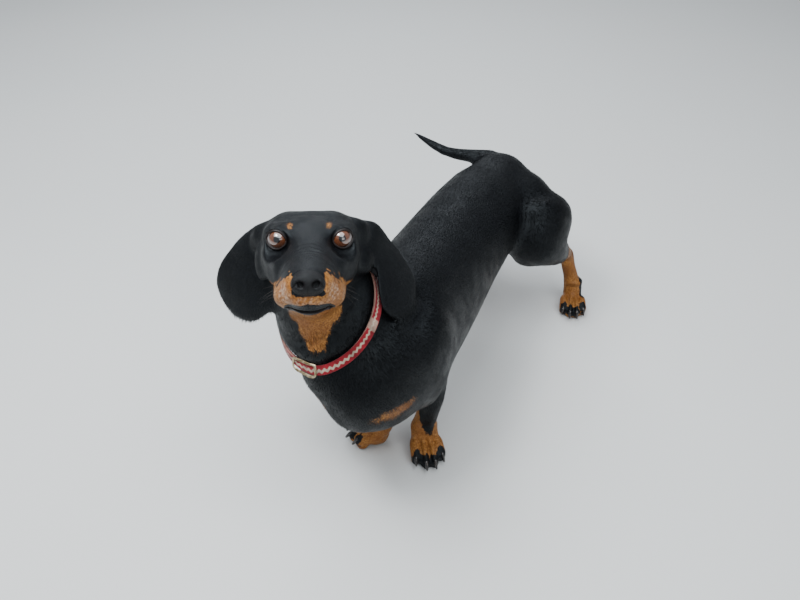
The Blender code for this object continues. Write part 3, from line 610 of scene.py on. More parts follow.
# The opening between the lids, how much its corners narrow, and how far the lids stand off the ball
LID_WIDTH = 0.0170
LID_HEIGHT = 0.0146
LID_NARROWING = 0.18
LID_STANDOFF = 0.0010
LID_SWELL = 0.0005
BED_DEPTH = 0.0007


def lid_curve(angle):
    """The opening between the lids, as seen along the eye's own direction."""
    x = math.cos(angle) * LID_WIDTH / 2
    z = math.sin(angle) * LID_HEIGHT / 2 * (1 - LID_NARROWING * abs(math.cos(angle)) ** 3)
    return x, z


def inside_opening(local):
    """How far each point lies inside the opening, as seen along the eye's own direction."""
    flat = np.hypot(local[:, 0], local[:, 2]) + 1e-9
    cos, sin = local[:, 0] / flat, local[:, 2] / flat
    squeeze = 1 - LID_NARROWING * np.abs(cos) ** 3
    edge = 1 / np.sqrt((cos / (LID_WIDTH / 2)) ** 2 + (sin / (LID_HEIGHT / 2 * squeeze)) ** 2)
    return edge - flat


def beyond_lids(local):
    """The distance from each point to the lids' margin, negative where the opening is."""
    margin = []
    for step in range(120):
        x, z = lid_curve(2 * math.pi * step / 120)
        margin.append((x, -math.sqrt((EYE_RADIUS + LID_STANDOFF) ** 2 - x * x - z * z), z))
    away = to_line(local, np.array(margin))
    return np.where((inside_opening(local) > 0) & (local[:, 1] < 0), -away, away)


def shape_lids(points):
    """Lays the skin under each eyeball's front inside the opening, and over the ball round it."""
    for side in EYES:
        place = eye_frame(side)
        local = into(place, points)
        near = np.nonzero((np.linalg.norm(local, axis=1) < 0.034) & (local[:, 1] < 0.008))[0]
        local = local[near]
        within = inside_opening(local)
        flat = np.hypot(local[:, 0], local[:, 2])
        dome = np.sqrt(np.maximum((EYE_RADIUS + LID_STANDOFF) ** 2 - flat**2, 0))
        rise = np.where(within > -0.0012, dome, 0.0050 + 1.5 * np.maximum(-within - 0.0012, 0))
        held = (1 - steps(-within, 0.0050, 0.0085)) * (local[:, 1] < 0)
        local[:, 1] += (np.maximum(local[:, 1], -rise) - local[:, 1]) * held
        bed = np.sqrt(np.maximum((EYE_RADIUS - BED_DEPTH) ** 2 - flat**2, 0))
        local[:, 1] = np.where((within > 0) & (local[:, 1] < 0), -bed, local[:, 1])
        away = beyond_lids(local)
        reach = np.maximum(np.linalg.norm(local, axis=1), 1e-6)
        lid = EYE_RADIUS + LID_STANDOFF + LID_SWELL * np.exp(-((away - 0.0026) / 0.0010) ** 2)
        blend = steps(away, 0.0030, 0.0062)
        goal = np.maximum(reach, lid * (1 - blend) + np.minimum(reach, lid) * blend)
        goal = np.where((within > 0) | (local[:, 1] > 0.003), reach, goal)
        local *= (goal / reach)[:, None]
        points[near] = moved(place, local)
    return points


# How high the closed lips run in the head's frame, from the middle of the mouth round to a corner
MOUTH_HEIGHT = ((0, 0.11, 0.20, 0.27, 0.31, 0.36, 0.42, 0.55, 0.70, 1),
                (-0.0436, -0.0436, -0.0431, -0.0421, -0.0413, -0.0424, -0.0450, -0.0470, -0.0460, -0.0440))

MOUTH_CORNER = math.radians(76)
MOUTH_STEPS = 30


def mouth_line(tree):
    """Points on the skin along the closed lips, from one corner round the front to the other."""
    spin = HEAD.to_3x3()
    points = []
    for step in range(-MOUTH_STEPS, MOUTH_STEPS + 1):
        share = abs(step) / MOUTH_STEPS
        angle = MOUTH_CORNER * step / MOUTH_STEPS
        start = HEAD @ Vector((0, -0.040 + 0.022 * share**2, float(np.interp(share, *MOUTH_HEIGHT))))
        way = spin @ Vector((math.sin(angle), -math.cos(angle), 0))
        hit, _, _, _ = tree.ray_cast(start, way.normalized())
        if hit is not None:
            points.append(hit)
    return np.array(points)


def to_line(points, line):
    """The distance from each point to a line of points close together."""
    nearest = np.full(len(points), 1.0)
    low, high = line.min(axis=0) - 0.02, line.max(axis=0) + 0.02
    near = np.nonzero(np.all((points > low) & (points < high), axis=1))[0]
    if len(near):
        gaps = np.linalg.norm(points[near][:, None] - line[None], axis=2)
        nearest[near] = gaps.min(axis=1)
    return nearest


def dense(points, count):
    """The same line with evenly many more points."""
    points = np.array(points, float)
    at = np.linspace(0, len(points) - 1, count)
    return np.stack([np.interp(at, np.arange(len(points)), points[:, k]) for k in range(3)], axis=1)


# How deep each line is cut, and how high the lips swell beside theirs
LIP_DEPTH = 0.0017
LIP_SWELL = 0.00050
NOSTRIL_DEPTH = 0.0034
PARTING_DEPTH = 0.0007
CLEFT_DEPTH = 0.0026
NOSE_EDGE_DEPTH = 0.00045
BRIDGE_FOLD = 0.00026
BAG_FOLD = 0.0004


def carve(points, normals, mouth):
    """The line of the lips, nostrils, the nose's crease, the toes' clefts and the small folds of the face."""
    push = np.zeros(len(points))
    gap = to_line(points, mouth)
    push -= LIP_DEPTH * np.exp(-(gap / 0.0011) ** 2)
    push += LIP_SWELL * np.exp(-((gap - 0.0026) / 0.0012) ** 2)
    head = into(HEAD, points)
    front = head[:, 1] < -0.070
    for sign in (1, -1):
        comma = dense([(0.0056 * sign, -0.0935, -0.0205), (0.0070 * sign, -0.0935, -0.0190),
                       (0.0098 * sign, -0.0905, -0.0197), (0.0122 * sign, -0.0870, -0.0222)], 24)
        gaps = np.linalg.norm((head[:, None, (0, 2)] - comma[None][:, :, (0, 2)])[front], axis=2)
        wide = np.linspace(0.0021, 0.0007, 24)
        deep = np.exp(-(gaps / wide) ** 2) * np.linspace(1, 0.35, 24)
        push[front] -= NOSTRIL_DEPTH * deep.max(axis=1)
    parting = PARTING_DEPTH * np.exp(-(np.abs(head[front, 0]) / 0.0006) ** 2)
    parting = parting * steps(head[front, 2], -0.042, -0.039) * steps(head[front, 2], -0.020, -0.0225)
    push[front] -= parting
    for name in PAWS:
        _, length, height = FEET[name]["size"]
        tips = [tip for tip, _ in toe_points(FEET[name]["size"])]
        local = into(foot_frame(name), points)
        for one, two in zip(tips, tips[1:]):
            tip = (one + two) / 2
            back = tip.y + 0.26 * length
            cleft = dense([(tip.x, tip.y - 0.0060, 0.0030), (tip.x, tip.y - 0.0050, tip.z + 0.0040),
                           (tip.x * 0.92, (tip.y + back) / 2, tip.z + 0.22 * height + 0.0050),
                           (tip.x * 0.80, back + 0.004, tip.z + 0.22 * height + 0.0070)], 40)
            apart = to_line(local * (1, 1, 0.6), cleft * (1, 1, 0.6))
            push -= CLEFT_DEPTH * np.exp(-(apart / 0.0018) ** 2)
    leather = patch(points, HEAD, (0, -0.0865, -0.0198), (0.0142, 0.0110, 0.0112), 0.08)
    edge = leather * (1 - leather) * 4
    push -= NOSE_EDGE_DEPTH * edge * front
    folds = patch(points, HEAD, (0, -0.040, -0.002), (0.0135, 0.020, 0.012), 0.5)
    bent = head[:, 1] + 0.30 * np.abs(head[:, 0]) + 0.0016 * ripple(head, 0.012, 31)
    push += BRIDGE_FOLD * folds * np.sin(bent * 2 * math.pi / 0.0068)
    for sign in (1, -1):
        bag = patch(points, HEAD, (0.0225 * sign, -0.0085, -0.0120), (0.0120, 0.0085, 0.0085), 0.6)
        push += BAG_FOLD * bag * np.sin(head[:, 2] * 2 * math.pi / 0.0055)
    return points + normals * push[:, None]


# The nose and the lips, which get smaller faces: each place in the head and its radii
FINE_SPOTS = (
    ((0, -0.078, -0.026), (0.028, 0.022, 0.027)),
    ((0.018, -0.045, -0.040), (0.018, 0.035, 0.012)),
    ((-0.018, -0.045, -0.040), (0.018, 0.035, 0.012)),
)


def refine(obj):
    """Halves the edges of the nose, the lips, the lids and the toes."""
    mesh = obj.data
    points = points_of(mesh)
    close = np.zeros(len(points), bool)
    for centre, radii in FINE_SPOTS:
        close |= patch(points, HEAD, centre, radii, 0.02) > 0.5
    for side in EYES:
        close |= patch(points, eye_frame(side), (0, -0.006, 0), (0.0150, 0.0140, 0.0140), 0.02) > 0.5
    for name in PAWS:
        width, length, height = FEET[name]["size"]
        toes = (0, -0.40 * length, 0.50 * height)
        radii = (0.56 * width, 0.26 * length, 0.60 * height)
        close |= patch(points, foot_frame(name), toes, radii, 0.02) > 0.5
    with editing(mesh) as bm:
        edges = [e for e in bm.edges if close[e.verts[0].index] and close[e.verts[1].index]]
        bmesh.ops.subdivide_edges(bm, edges=edges, cuts=1, use_grid_fill=True)
        bmesh.ops.triangulate(bm, faces=[f for f in bm.faces if len(f.verts) > 3])
    mesh.update()


def ease_lids(mesh, points, inner, rounds):
    """Smooths the skin round the eyes, except within the inner distance of the lids' margin."""
    around_eyes = np.zeros(len(points))
    for side in EYES:
        local = into(eye_frame(side), points)
        close = patch(local, Matrix(), (0, -0.006, 0), [0.020] * 3, 0.2)
        around_eyes = np.maximum(around_eyes, close * steps(beyond_lids(local), inner, inner + 0.0012))
    return neighbour_smooth(mesh, points, rounds, 0.5, around_eyes)


# The fold in front of the right ear: its place in the head and its radii
FOLD = ((-0.0436, 0.0350, -0.0250), (0.0080, 0.0170, 0.0190))

# How often the whole skin is smoothed, and how often the trunk is smoothed again without shrinking
SMOOTH_ROUNDS = 110
TRUNK_ROUNDS = 20
# Each pass over the lids: the distance kept from their margin and the rounds of smoothing
LID_PASSES = ((0.0, 3), (0.0, 3), (0.0022, 5))
FLOOR_CLEARANCE = 0.0002


class DACHSHUND_OT_skin(bpy.types.Operator):
    """One skin over all the flesh, with its folds and markings"""
    bl_idname = "dachshund.skin"
    bl_label = "Skin"

    def execute(self, context):
        settings = context.scene.dachshund_skin
        form = Form()
        for name in PAWS:
            paw_forms(form, name)
        for side in EYES:
            form.ball((0, 0, 0), [EYE_RADIUS - 0.0004] * 3, Matrix.Translation(EYES[side]))
        form.ball(*FOLD, HEAD)
        parts = [form.make("paws")] + [loose_copy(node, 0.0003) for node in FLESH]
        bm = bmesh.new()
        for part in parts:
            bm.from_mesh(part.data)
            bpy.data.objects.remove(part)
        mesh = bpy.data.meshes.new("skin")
        bm.to_mesh(mesh)
        bm.free()
        skin = link(bpy.data.objects.new("skin", mesh))
        remesh = skin.modifiers.new("Remesh", "REMESH")
        remesh.mode = "VOXEL"
        remesh.voxel_size = settings.voxel
        settle(skin)
        keep_largest(skin)
        mesh = skin.data
        points = points_of(mesh)
        solid = tree_of(mesh, points)
        weight = region_weights(points)
        points = neighbour_smooth(mesh, points, SMOOTH_ROUNDS, 0.5, weight)
        set_points(mesh, points)
        thin_out(skin, weight, settings.triangles)
        refine(skin)
        mesh = skin.data
        points = points_of(mesh)
        points = neighbour_smooth(mesh, points, 3, 0.5, np.full(len(points), 0.6))
        set_points(mesh, points)
        points = lay_inside(points, normals_of(mesh), solid, settings.inset)
        trunk = steps(region_weights(points), 0.3, 0.8)
        for _ in range(TRUNK_ROUNDS):
            points = neighbour_smooth(mesh, points, 1, 0.50, trunk)
            points = neighbour_smooth(mesh, points, 1, -0.52, trunk)
        points = fill_collar(points)
        for inner, rounds in LID_PASSES:
            points = ease_lids(mesh, shape_lids(points), inner, rounds)
        set_points(mesh, points)
        mouth = mouth_line(tree_of(mesh, points))
        points = carve(points, normals_of(mesh), mouth)
        points[:, 2] = np.maximum(points[:, 2], FLOOR_CLEARANCE)
        set_points(mesh, points)
        mesh.shade_smooth()
        mark_skin(mesh, mouth)
        unwrap(skin)
        paint(skin, skin_material())
        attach(skin, "root")
        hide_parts(*FLESH, *PAWS)
        return {"FINISHED"}


def tree_of(mesh, points):
    mesh.calc_loop_triangles()
    triangles = rows_of(mesh.loop_triangles, "vertices", 3, np.int32)
    return BVHTree.FromPolygons(points.tolist(), triangles.tolist())


def keep_largest(obj):
    """Drops every island but the largest, such as a closed space inside."""
    mesh = obj.data
    count = len(mesh.vertices)
    a, b = rows_of(mesh.edges, "vertices", 2, np.int32).T
    label = np.arange(count)
    while True:
        low = np.minimum(label[a], label[b])
        before = label.copy()
        np.minimum.at(label, a, low)
        np.minimum.at(label, b, low)
        label = label[label]
        if (label == before).all():
            break
    sizes = np.bincount(label, minlength=count)
    doomed = label != sizes.argmax()
    if doomed.any():
        with editing(mesh) as bm:
            bm.verts.ensure_lookup_table()
            bmesh.ops.delete(bm, geom=[bm.verts[i] for i in np.nonzero(doomed)[0]], context="VERTS")


# Above this weight the trunk's triangles would grow without limit
THIN_MOST = 0.75
# How far inside the solids the skin is laid at least
LEAST_DEPTH = 0.0002


def thin_out(obj, weight, triangles):
    """Fewer, larger faces where the body is smooth."""
    group = obj.vertex_groups.new(name="thin")
    for level in range(11):
        chosen = np.nonzero((weight * 10).round().astype(int) == level)[0]
        if len(chosen):
            group.add(chosen.tolist(), min(level / 10, THIN_MOST), "REPLACE")
    thin = obj.modifiers.new("Decimate", "DECIMATE")
    thin.ratio = min(1.0, triangles / (2 * len(obj.data.polygons)))
    thin.vertex_group = group.name
    settle(obj)
    obj.vertex_groups.clear()


def lay_inside(points, normals, solid, depth):
    """Draws the skin in by the depth of the coat, less on the face and the feet."""
    depths = depth * (1 - 0.75 * patch(points, HEAD, (0, -0.050, -0.022), (0.040, 0.056, 0.035), 0.3))
    depths *= 0.3 + 0.7 * steps(into(BODY, points)[:, 2], 0.02, 0.06)
    made = points - normals * depths[:, None]
    for number, point in enumerate(made):
        hit, normal, _, _ = solid.find_nearest(Vector(point))
        above = (Vector(point) - hit).dot(normal)
        if above > -LEAST_DEPTH:
            made[number] = point - np.array(normal) * (above + LEAST_DEPTH)
    return made


def unwrap(obj):
    """An unwrap of the skin's own shape, which the coat also uses."""
    bpy.context.view_layer.objects.active = obj
    obj.select_set(True)
    bpy.ops.object.mode_set(mode="EDIT")
    bpy.ops.mesh.select_all(action="SELECT")
    bpy.ops.uv.smart_project(angle_limit=math.radians(66), island_margin=0.001)
    bpy.ops.object.mode_set(mode="OBJECT")
    obj.select_set(False)
    obj.data.uv_layers[0].name = "OFBake"


# Markings and the lie of the coat


def tan_marks(points):
    """Where the coat is rust-coloured and where it is pale, from 0 to 1."""
    ragged = points + 0.0013 * np.stack([ripple(points, 0.005, s) for s in (1, 2, 3)], axis=1)
    tan = np.zeros(len(points))
    pale = np.zeros(len(points))

    def add(place, centre, radii, soft=0.2, turn=(0, 0, 0), share=1.0):
        nonlocal tan
        tan = np.maximum(tan, share * patch(ragged, place, centre, radii, soft, turn))

    def cover(place, centre, radii, soft=0.2, turn=(0, 0, 0), share=1.0):
        nonlocal tan
        tan = np.minimum(tan, 1 - share * patch(ragged, place, centre, radii, soft, turn))

    def whiten(place, centre, radii, soft=0.5, share=1.0):
        nonlocal pale
        pale = np.maximum(pale, share * patch(ragged, place, centre, radii, soft))

    # The sides of the muzzle, up to a line that falls from beside the nose to the cheek
    head = into(HEAD, ragged)
    aside = np.abs(head[:, 0])
    upper = np.minimum(-0.0125 - 1.2 * (aside - 0.0138) + 0.0012 * (head[:, 0] > 0), -0.0130)
    muzzle = steps(upper - head[:, 2], -0.0014, 0.0014) * steps(-head[:, 1], 0.020, 0.034)
    muzzle *= np.maximum(steps(aside, 0.0112, 0.0132), steps(head[:, 2], -0.0285, -0.0310))
    tan = np.maximum(tan, muzzle * patch(points, HEAD, (0, -0.052, -0.026), (0.045, 0.050, 0.030), 0.05))
    # The jaw and the throat down to its patch
    add(HEAD, (0, -0.045, -0.052), (0.027, 0.055, 0.0125), 0.15)
    add(HEAD, (0.002, 0.018, -0.070), (0.0250, 0.030, 0.016), 0.2)
    add(HEAD, (0.0015, 0.030, -0.084), (0.0150, 0.022, 0.018), 0.2)
    add(HEAD, (0.0020, 0.038, -0.096), (0.0105, 0.022, 0.016), 0.3)
    for sign in (1, -1):
        # The sides of the lips, the cheeks' lower edge, the jaw, the spots over the eyes and pale painted
        # highlights on the muzzle
        add(HEAD, (0.0110 * sign, -0.0800, -0.0360), (0.0150, 0.0130, 0.0060), 0.2)
        add(HEAD, (0.0300 * sign, -0.012, -0.0430), (0.0120, 0.0300, 0.0075), 0.25)
        add(HEAD, (0.0190 * sign, -0.008, -0.0560), (0.0130, 0.0250, 0.0120), 0.25)
        spot = patch(points, HEAD, (0.0168 * sign, 0.0040, 0.0130), (0.0034, 0.0075, 0.0075), 0.5)
        tan = np.maximum(tan, 0.54 * spot)
        # Pale coat on the sides of the muzzle: a painted highlight
        whiten(HEAD, (0.0200 * sign, -0.078, -0.0290), (0.0070, 0.0100, 0.0075), 0.7, 0.75)
        whiten(HEAD, (0.0270 * sign, -0.058, -0.0340), (0.0070, 0.0100, 0.0060), 0.7, 0.45)
    whiten(HEAD, (0, -0.080, -0.0360), (0.0150, 0.0130, 0.0050), 0.5, 0.40)
    whiten(HEAD, (0, -0.070, -0.0500), (0.0130, 0.0160, 0.0040), 0.5, 0.5)
    cover(HEAD, (0, -0.060, -0.0040), (0.0135, 0.050, 0.0120), 0.2)
    cover(HEAD, (0, -0.072, -0.0475), (0.0190, 0.0220, 0.0035), 0.6, share=0.7)
    # The two patches on the forechest
    add(BODY, (0.0600, -0.078, 0.1475), (0.0315, 0.0180, 0.0072), 0.4, (0, -9, 42), 0.62)
    add(BODY, (-0.0280, -0.084, 0.1500), (0.0320, 0.0180, 0.0072), 0.4, (0, 17, -38), 0.62)
    # The forelegs and feet
    for name in ("forepaw_left", "forepaw_right"):
        place = foot_frame(name)
        side = FEET[name]["side"]
        add(place, (0, -0.010, 0.018), (0.034, 0.042, 0.036), 0.1)
        add(place, (-0.010 * side, 0.006, 0.050), (0.020, 0.022, 0.050), 0.15)
        cover(place, (0.003 * side, -0.012, 0.065), (0.0115, 0.022, 0.036), 0.2, (-12, 0, 0))
        cover(place, (0.018 * side, 0.006, 0.075), (0.018, 0.020, 0.042), 0.2)
    for name in ("hindpaw_left", "hindpaw_right"):
        place = foot_frame(name)
        side = FEET[name]["side"]
        add(place, (0, -0.010, 0.018), (0.032, 0.042, 0.036), 0.1)
        add(place, (-0.006 * side, 0.002, 0.050), (0.016, 0.022, 0.036), 0.15)
        add(place, (-0.016 * side, 0.000, 0.080), (0.014, 0.024, 0.034), 0.2)
        cover(place, (0.013 * side, 0.010, 0.040), (0.0060, 0.022, 0.050), 0.25)
        cover(place, (0.013 * side, 0.026, 0.070), (0.018, 0.016, 0.040), 0.2)
    for name in PAWS:
        place = foot_frame(name)
        for number, (tip, splay) in enumerate(toe_points(FEET[name]["size"])):
            back = -0.001 - 0.0015 * (number % 2)
            cover(place, (tip.x, tip.y - 0.0035 - back, tip.z + 0.0015), (0.0050, 0.0080, 0.0085), 0.25,
                  (0, 0, splay))
            if name == "forepaw_left":
                cover(place, (tip.x, tip.y - 0.0065, tip.z - 0.0020), (0.0090, 0.0085, 0.0110), 0.2)
    for side in EYES:
        tan = np.minimum(tan, 1 - ear_patch(ragged, side, 1.1, 0.05))
    # Under the tail and along the inside of the thighs
    add(BODY, (0.000, 0.332, 0.168), (0.013, 0.012, 0.012), 0.3)
    for x in (0.040, -0.006):
        add(BODY, (x, 0.285, 0.118), (0.016, 0.036, 0.030), 0.25)
    pale *= np.clip(0.55 + 0.75 * ripple(points, 0.0030, 41), 0, 1)
    return tan, pale * tan


def mark_skin(mesh, mouth):
    points = points_of(mesh)
    normals = normals_of(mesh)
    tan, pale = tan_marks(points)
    low = into(BODY, points)
    head = into(HEAD, points)
    nose = patch(points, HEAD, (0, -0.0905, -0.0198), (0.0140, 0.0130, 0.0108), 0.06)
    gap = to_line(points, mouth)
    below = to_line(points - np.array(HEAD_SPIN @ Vector((0, 0, -0.0018))), mouth)
    gap = np.minimum(gap, below)
    bare = 1 - steps(gap, 0.0016, 0.0031)
    middle = (1 - steps(np.abs(head[:, 0]), 0.0100, 0.0210)) * steps(-head[:, 1], 0.050, 0.066)
    black = 0.0020 + 0.0056 * middle
    tan *= steps(gap + 0.0005 * ripple(points, 0.004, 51), black, black + 0.0016)
    for side in EYES:
        away = beyond_lids(into(eye_frame(side), points))
        bare = np.maximum(bare, 1 - steps(away, 0.0014, 0.0026))
    sole = steps(low[:, 2], 0.0040, 0.0020) * steps(-normals[:, 2], 0.3, 0.7)
    bare = np.maximum(bare, sole) * (1 - nose)
    store(mesh, "tan", tan)
    store(mesh, "pale", pale)
    store(mesh, "nose", nose)
    store(mesh, "bare", bare)
    lie_of_coat(mesh, points, normals, low, nose, bare)


# Each row: the frame, a place in it, and the way that the coat lies there. A row in HEAD that is off its
# middle stands for both sides.
LIE = (
    (HEAD, (0, -0.070, -0.006), (0, 1, 0.15)),
    (HEAD, (0, -0.030, -0.002), (0, 1, 0.2)),
    (HEAD, (0, 0.005, 0.013), (0, 1, 0.3)),
    (HEAD, (0, 0.050, 0.018), (0, 1, -0.15)),
    (HEAD, (0, 0.090, -0.010), (0, 0.6, -0.8)),
    (HEAD, (0.024, -0.060, -0.026), (0.25, 1, -0.30)),
    (HEAD, (0.010, -0.082, -0.036), (0.9, 0.4, -0.6)),
    (HEAD, (0.030, -0.020, -0.026), (0.1, 1, -0.35)),
    (HEAD, (0.018, 0.004, 0.012), (0.5, 1, 0.4)),
    (HEAD, (0.043, 0.020, -0.015), (0.1, 1, -0.4)),
    (HEAD, (0, -0.040, -0.054), (0, 1, -0.25)),
    (HEAD, (0, 0.020, -0.075), (0, 0.45, -1)),
    (HEAD, (0.035, 0.060, 0.010), (0.8, 0.6, -0.6)),
    (LEVEL_HEAD, (0.058, 0.050, -0.030), (0.4, 0, -1)),
    (LEVEL_HEAD, (0.078, 0.030, -0.070), (0.1, 0.05, -1)),
    (LEVEL_HEAD, (0.088, 0.015, -0.105), (0, 0, -1)),
    (LEVEL_HEAD, (-0.058, 0.045, -0.035), (-0.4, 0, -1)),
    (LEVEL_HEAD, (-0.069, 0.030, -0.075), (-0.1, 0.05, -1)),
    (LEVEL_HEAD, (-0.070, 0.022, -0.105), (0, 0, -1)),
    (BODY, (-0.020, -0.010, 0.270), (0.35, 0.75, -0.7)),
    (BODY, (0.020, -0.030, 0.240), (0.2, 0.35, -1)),
    (BODY, (-0.070, -0.040, 0.240), (0.1, 0.35, -1)),
    (BODY, (-0.025, -0.090, 0.230), (0.3, 0.15, -1)),
    (BODY, (0.000, -0.100, 0.190), (0.2, 0.1, -1)),
    (BODY, (0.016, -0.104, 0.150), (0, 0.25, -1)),
    (BODY, (0.050, -0.080, 0.160), (0.35, 0.35, -1)),
    (BODY, (-0.020, -0.080, 0.160), (-0.25, 0.35, -1)),
    (BODY, (0.012, -0.050, 0.095), (0, 1, -0.4)),
    (BODY, (0.050, -0.020, 0.200), (0.15, 0.55, -0.8)),
    (BODY, (-0.035, -0.020, 0.195), (-0.1, 0.55, -0.8)),
    (BODY, (0.000, 0.060, 0.225), (0, 1, -0.05)),
    (BODY, (0.070, 0.050, 0.150), (0, 0.9, -0.55)),
    (BODY, (-0.055, 0.050, 0.150), (0, 0.9, -0.55)),
    (BODY, (0.000, 0.180, 0.212), (0, 1, 0)),
    (BODY, (0.060, 0.180, 0.150), (0, 1, -0.45)),
    (BODY, (-0.055, 0.180, 0.150), (0, 1, -0.45)),
    (BODY, (0.000, 0.150, 0.088), (0, 1, 0)),
    (BODY, (0.004, 0.290, 0.212), (0, 1, -0.15)),
    (BODY, (0.030, 0.335, 0.170), (0.2, 0.5, -1)),
    (BODY, (-0.020, 0.335, 0.170), (-0.2, 0.5, -1)),
    (BODY, (0.095, 0.260, 0.150), (0.1, 0.5, -1)),
    (BODY, (-0.050, 0.250, 0.140), (-0.1, 0.5, -1)),
    (BODY, (0.105, 0.300, 0.110), (0, 0.5, -1)),
    (BODY, (-0.050, 0.300, 0.100), (0, 0.5, -1)),
    (BODY, (0.096, 0.345, 0.060), (0, 0, -1)),
    (BODY, (-0.048, 0.345, 0.060), (0, 0, -1)),
    (BODY, (0.055, 0.010, 0.110), (0, 0.3, -1)),
    (BODY, (-0.035, 0.010, 0.110), (0, 0.3, -1)),
    (BODY, (0.046, 0.018, 0.050), (0, 0, -1)),
    (BODY, (-0.008, 0.010, 0.050), (0, 0, -1)),
    (BODY, (-0.036, 0.322, 0.189), (-1, -0.25, 0.05)),
    (BODY, (-0.066, 0.312, 0.191), (-1, -0.05, 0.2)),
    (BODY, (-0.110, 0.315, 0.203), (-1, 0.15, 0.3)),
)


def lie_rows():
    """All the rows, with those of the head's other side and those of the feet."""
    for place, centre, way in LIE:
        yield place, centre, way
        if place is HEAD and centre[0] != 0:
            yield place, (-centre[0], *centre[1:]), (-way[0], *way[1:])
    for name in PAWS:
        yield foot_frame(name), (0, -0.022, 0.018), (0, -1, -0.45)


def toward(value, goal, share):
    return value * (1 - share) + goal * share


# The regions that the coat is made in, each as a piece of its own
AREAS = (
    "face", "skull", "neck", "shoulders", "loin", "rump", "forelegs", "ears", "chest",
    "hindleg_left", "hindleg_right",
)
AREA = {name: number for number, name in enumerate(AREAS)}


def lie_of_coat(mesh, points, normals, low, nose, bare):
    """Stores which way the coat lies, how long it is and how dense its tufts are."""
    flow = np.zeros_like(points)
    total = np.zeros(len(points))
    for place, centre, way in lie_rows():
        at = np.array(place @ Vector(centre))
        turned = np.array((place.to_3x3() @ Vector(way)).normalized())
        share = 1 / (np.sum((points - at) ** 2, axis=1) + 0.00004) ** 2
        flow += share[:, None] * turned
        total += share
    flow /= total[:, None]
    flow += 0.10 * np.stack([ripple(points, 0.03, s) for s in (11, 12, 13)], axis=1)
    flow -= normals * np.sum(flow * normals, axis=1)[:, None]
    flow /= np.maximum(np.linalg.norm(flow, axis=1), 1e-6)[:, None]
    store(mesh, "flow", flow, "FLOAT_VECTOR")

    length = np.full(len(points), 0.52)
    near_head = patch(points, HEAD, (0, 0.010, -0.010), (0.058, 0.110, 0.056), 0.15)
    face = patch(points, HEAD, (0, -0.040, -0.016), (0.042, 0.075, 0.040), 0.35)
    ears = np.zeros(len(points))
    for side in EYES:
        ears = np.maximum(ears, ear_patch(points, side, 1.15))
    length = toward(length, 0.33, near_head)
    length = toward(length, 0.36, ears)
    length = toward(length, 0.19, face)
    chest = patch(points, BODY, (0.012, -0.085, 0.165), (0.055, 0.045, 0.075), 0.4)
    length = length + (0.68 - length) * chest * (1 - near_head)
    breech = patch(points, BODY, (0.005, 0.345, 0.140), (0.10, 0.035, 0.055), 0.4)
    length = length + (0.90 - length) * breech
    belly = steps(low[:, 2], 0.115, 0.090) * steps(low[:, 1], -0.06, -0.03) * steps(low[:, 1], 0.31, 0.27)
    length = length + (0.80 - length) * belly * steps(low[:, 2], 0.07, 0.08)
    legs = steps(low[:, 2], 0.085, 0.060)
    length = toward(length, 0.36, legs)
    feet = steps(low[:, 2], 0.036, 0.024)
    length = toward(length, 0.20, feet)
    length *= 1 + 0.12 * ripple(points, 0.02, 21)
    store(mesh, "length", length)
    dense_at = 0.62 / np.maximum(length, 0.12) ** 1.15
    covered = (1 - steps(nose, 0.2, 0.5)) * (1 - steps(bare, 0.25, 0.6))
    dense_at *= covered * steps(points[:, 2], 0.0012, 0.0030)
    store(mesh, "tufts", np.clip(dense_at, 0, 5))

    area = np.where(low[:, 2] > 0.150, AREA["shoulders"], AREA["chest"])
    area[low[:, 1] > 0.115] = AREA["loin"]
    area[low[:, 1] > 0.215] = AREA["rump"]
    area[(low[:, 2] < 0.088) & (low[:, 1] < 0.08)] = AREA["forelegs"]
    hindlegs = (low[:, 2] < 0.120) & (low[:, 1] > 0.2)
    area[hindlegs] = np.where(low[hindlegs, 0] > 0.032, AREA["hindleg_left"], AREA["hindleg_right"])
    neck = patch(points, BODY, (-0.030, -0.055, 0.235), (0.075, 0.085, 0.062), 0.01) > 0.5
    area[neck] = AREA["neck"]
    area[near_head > 0.5] = AREA["skull"]
    area[face > 0.5] = AREA["face"]
    area[ears > 0.5] = AREA["ears"]
    store(mesh, "area", area, "INT")


# A tuft's thickness for its width, how deep its root lies, and its patch on the texture map
TUFT_THICK = 0.34
ROOT_DEPTH = 0.0002
TUFT_PATCH = (0.0030, 0.0030, 0.0)


def tuft_shape():
    """One tuft: a thin wedge, flat underneath, bent down a little towards its point."""
    points = [(-0.5, 0, 0), (0.5, 0, 0), (0, 0.02, 0.5), (0, 1, -0.06)]
    faces = [(0, 2, 1), (0, 1, 3), (1, 2, 3), (2, 0, 3)]
    return facing_out(new_object("tuft", points, faces, smooth=False))


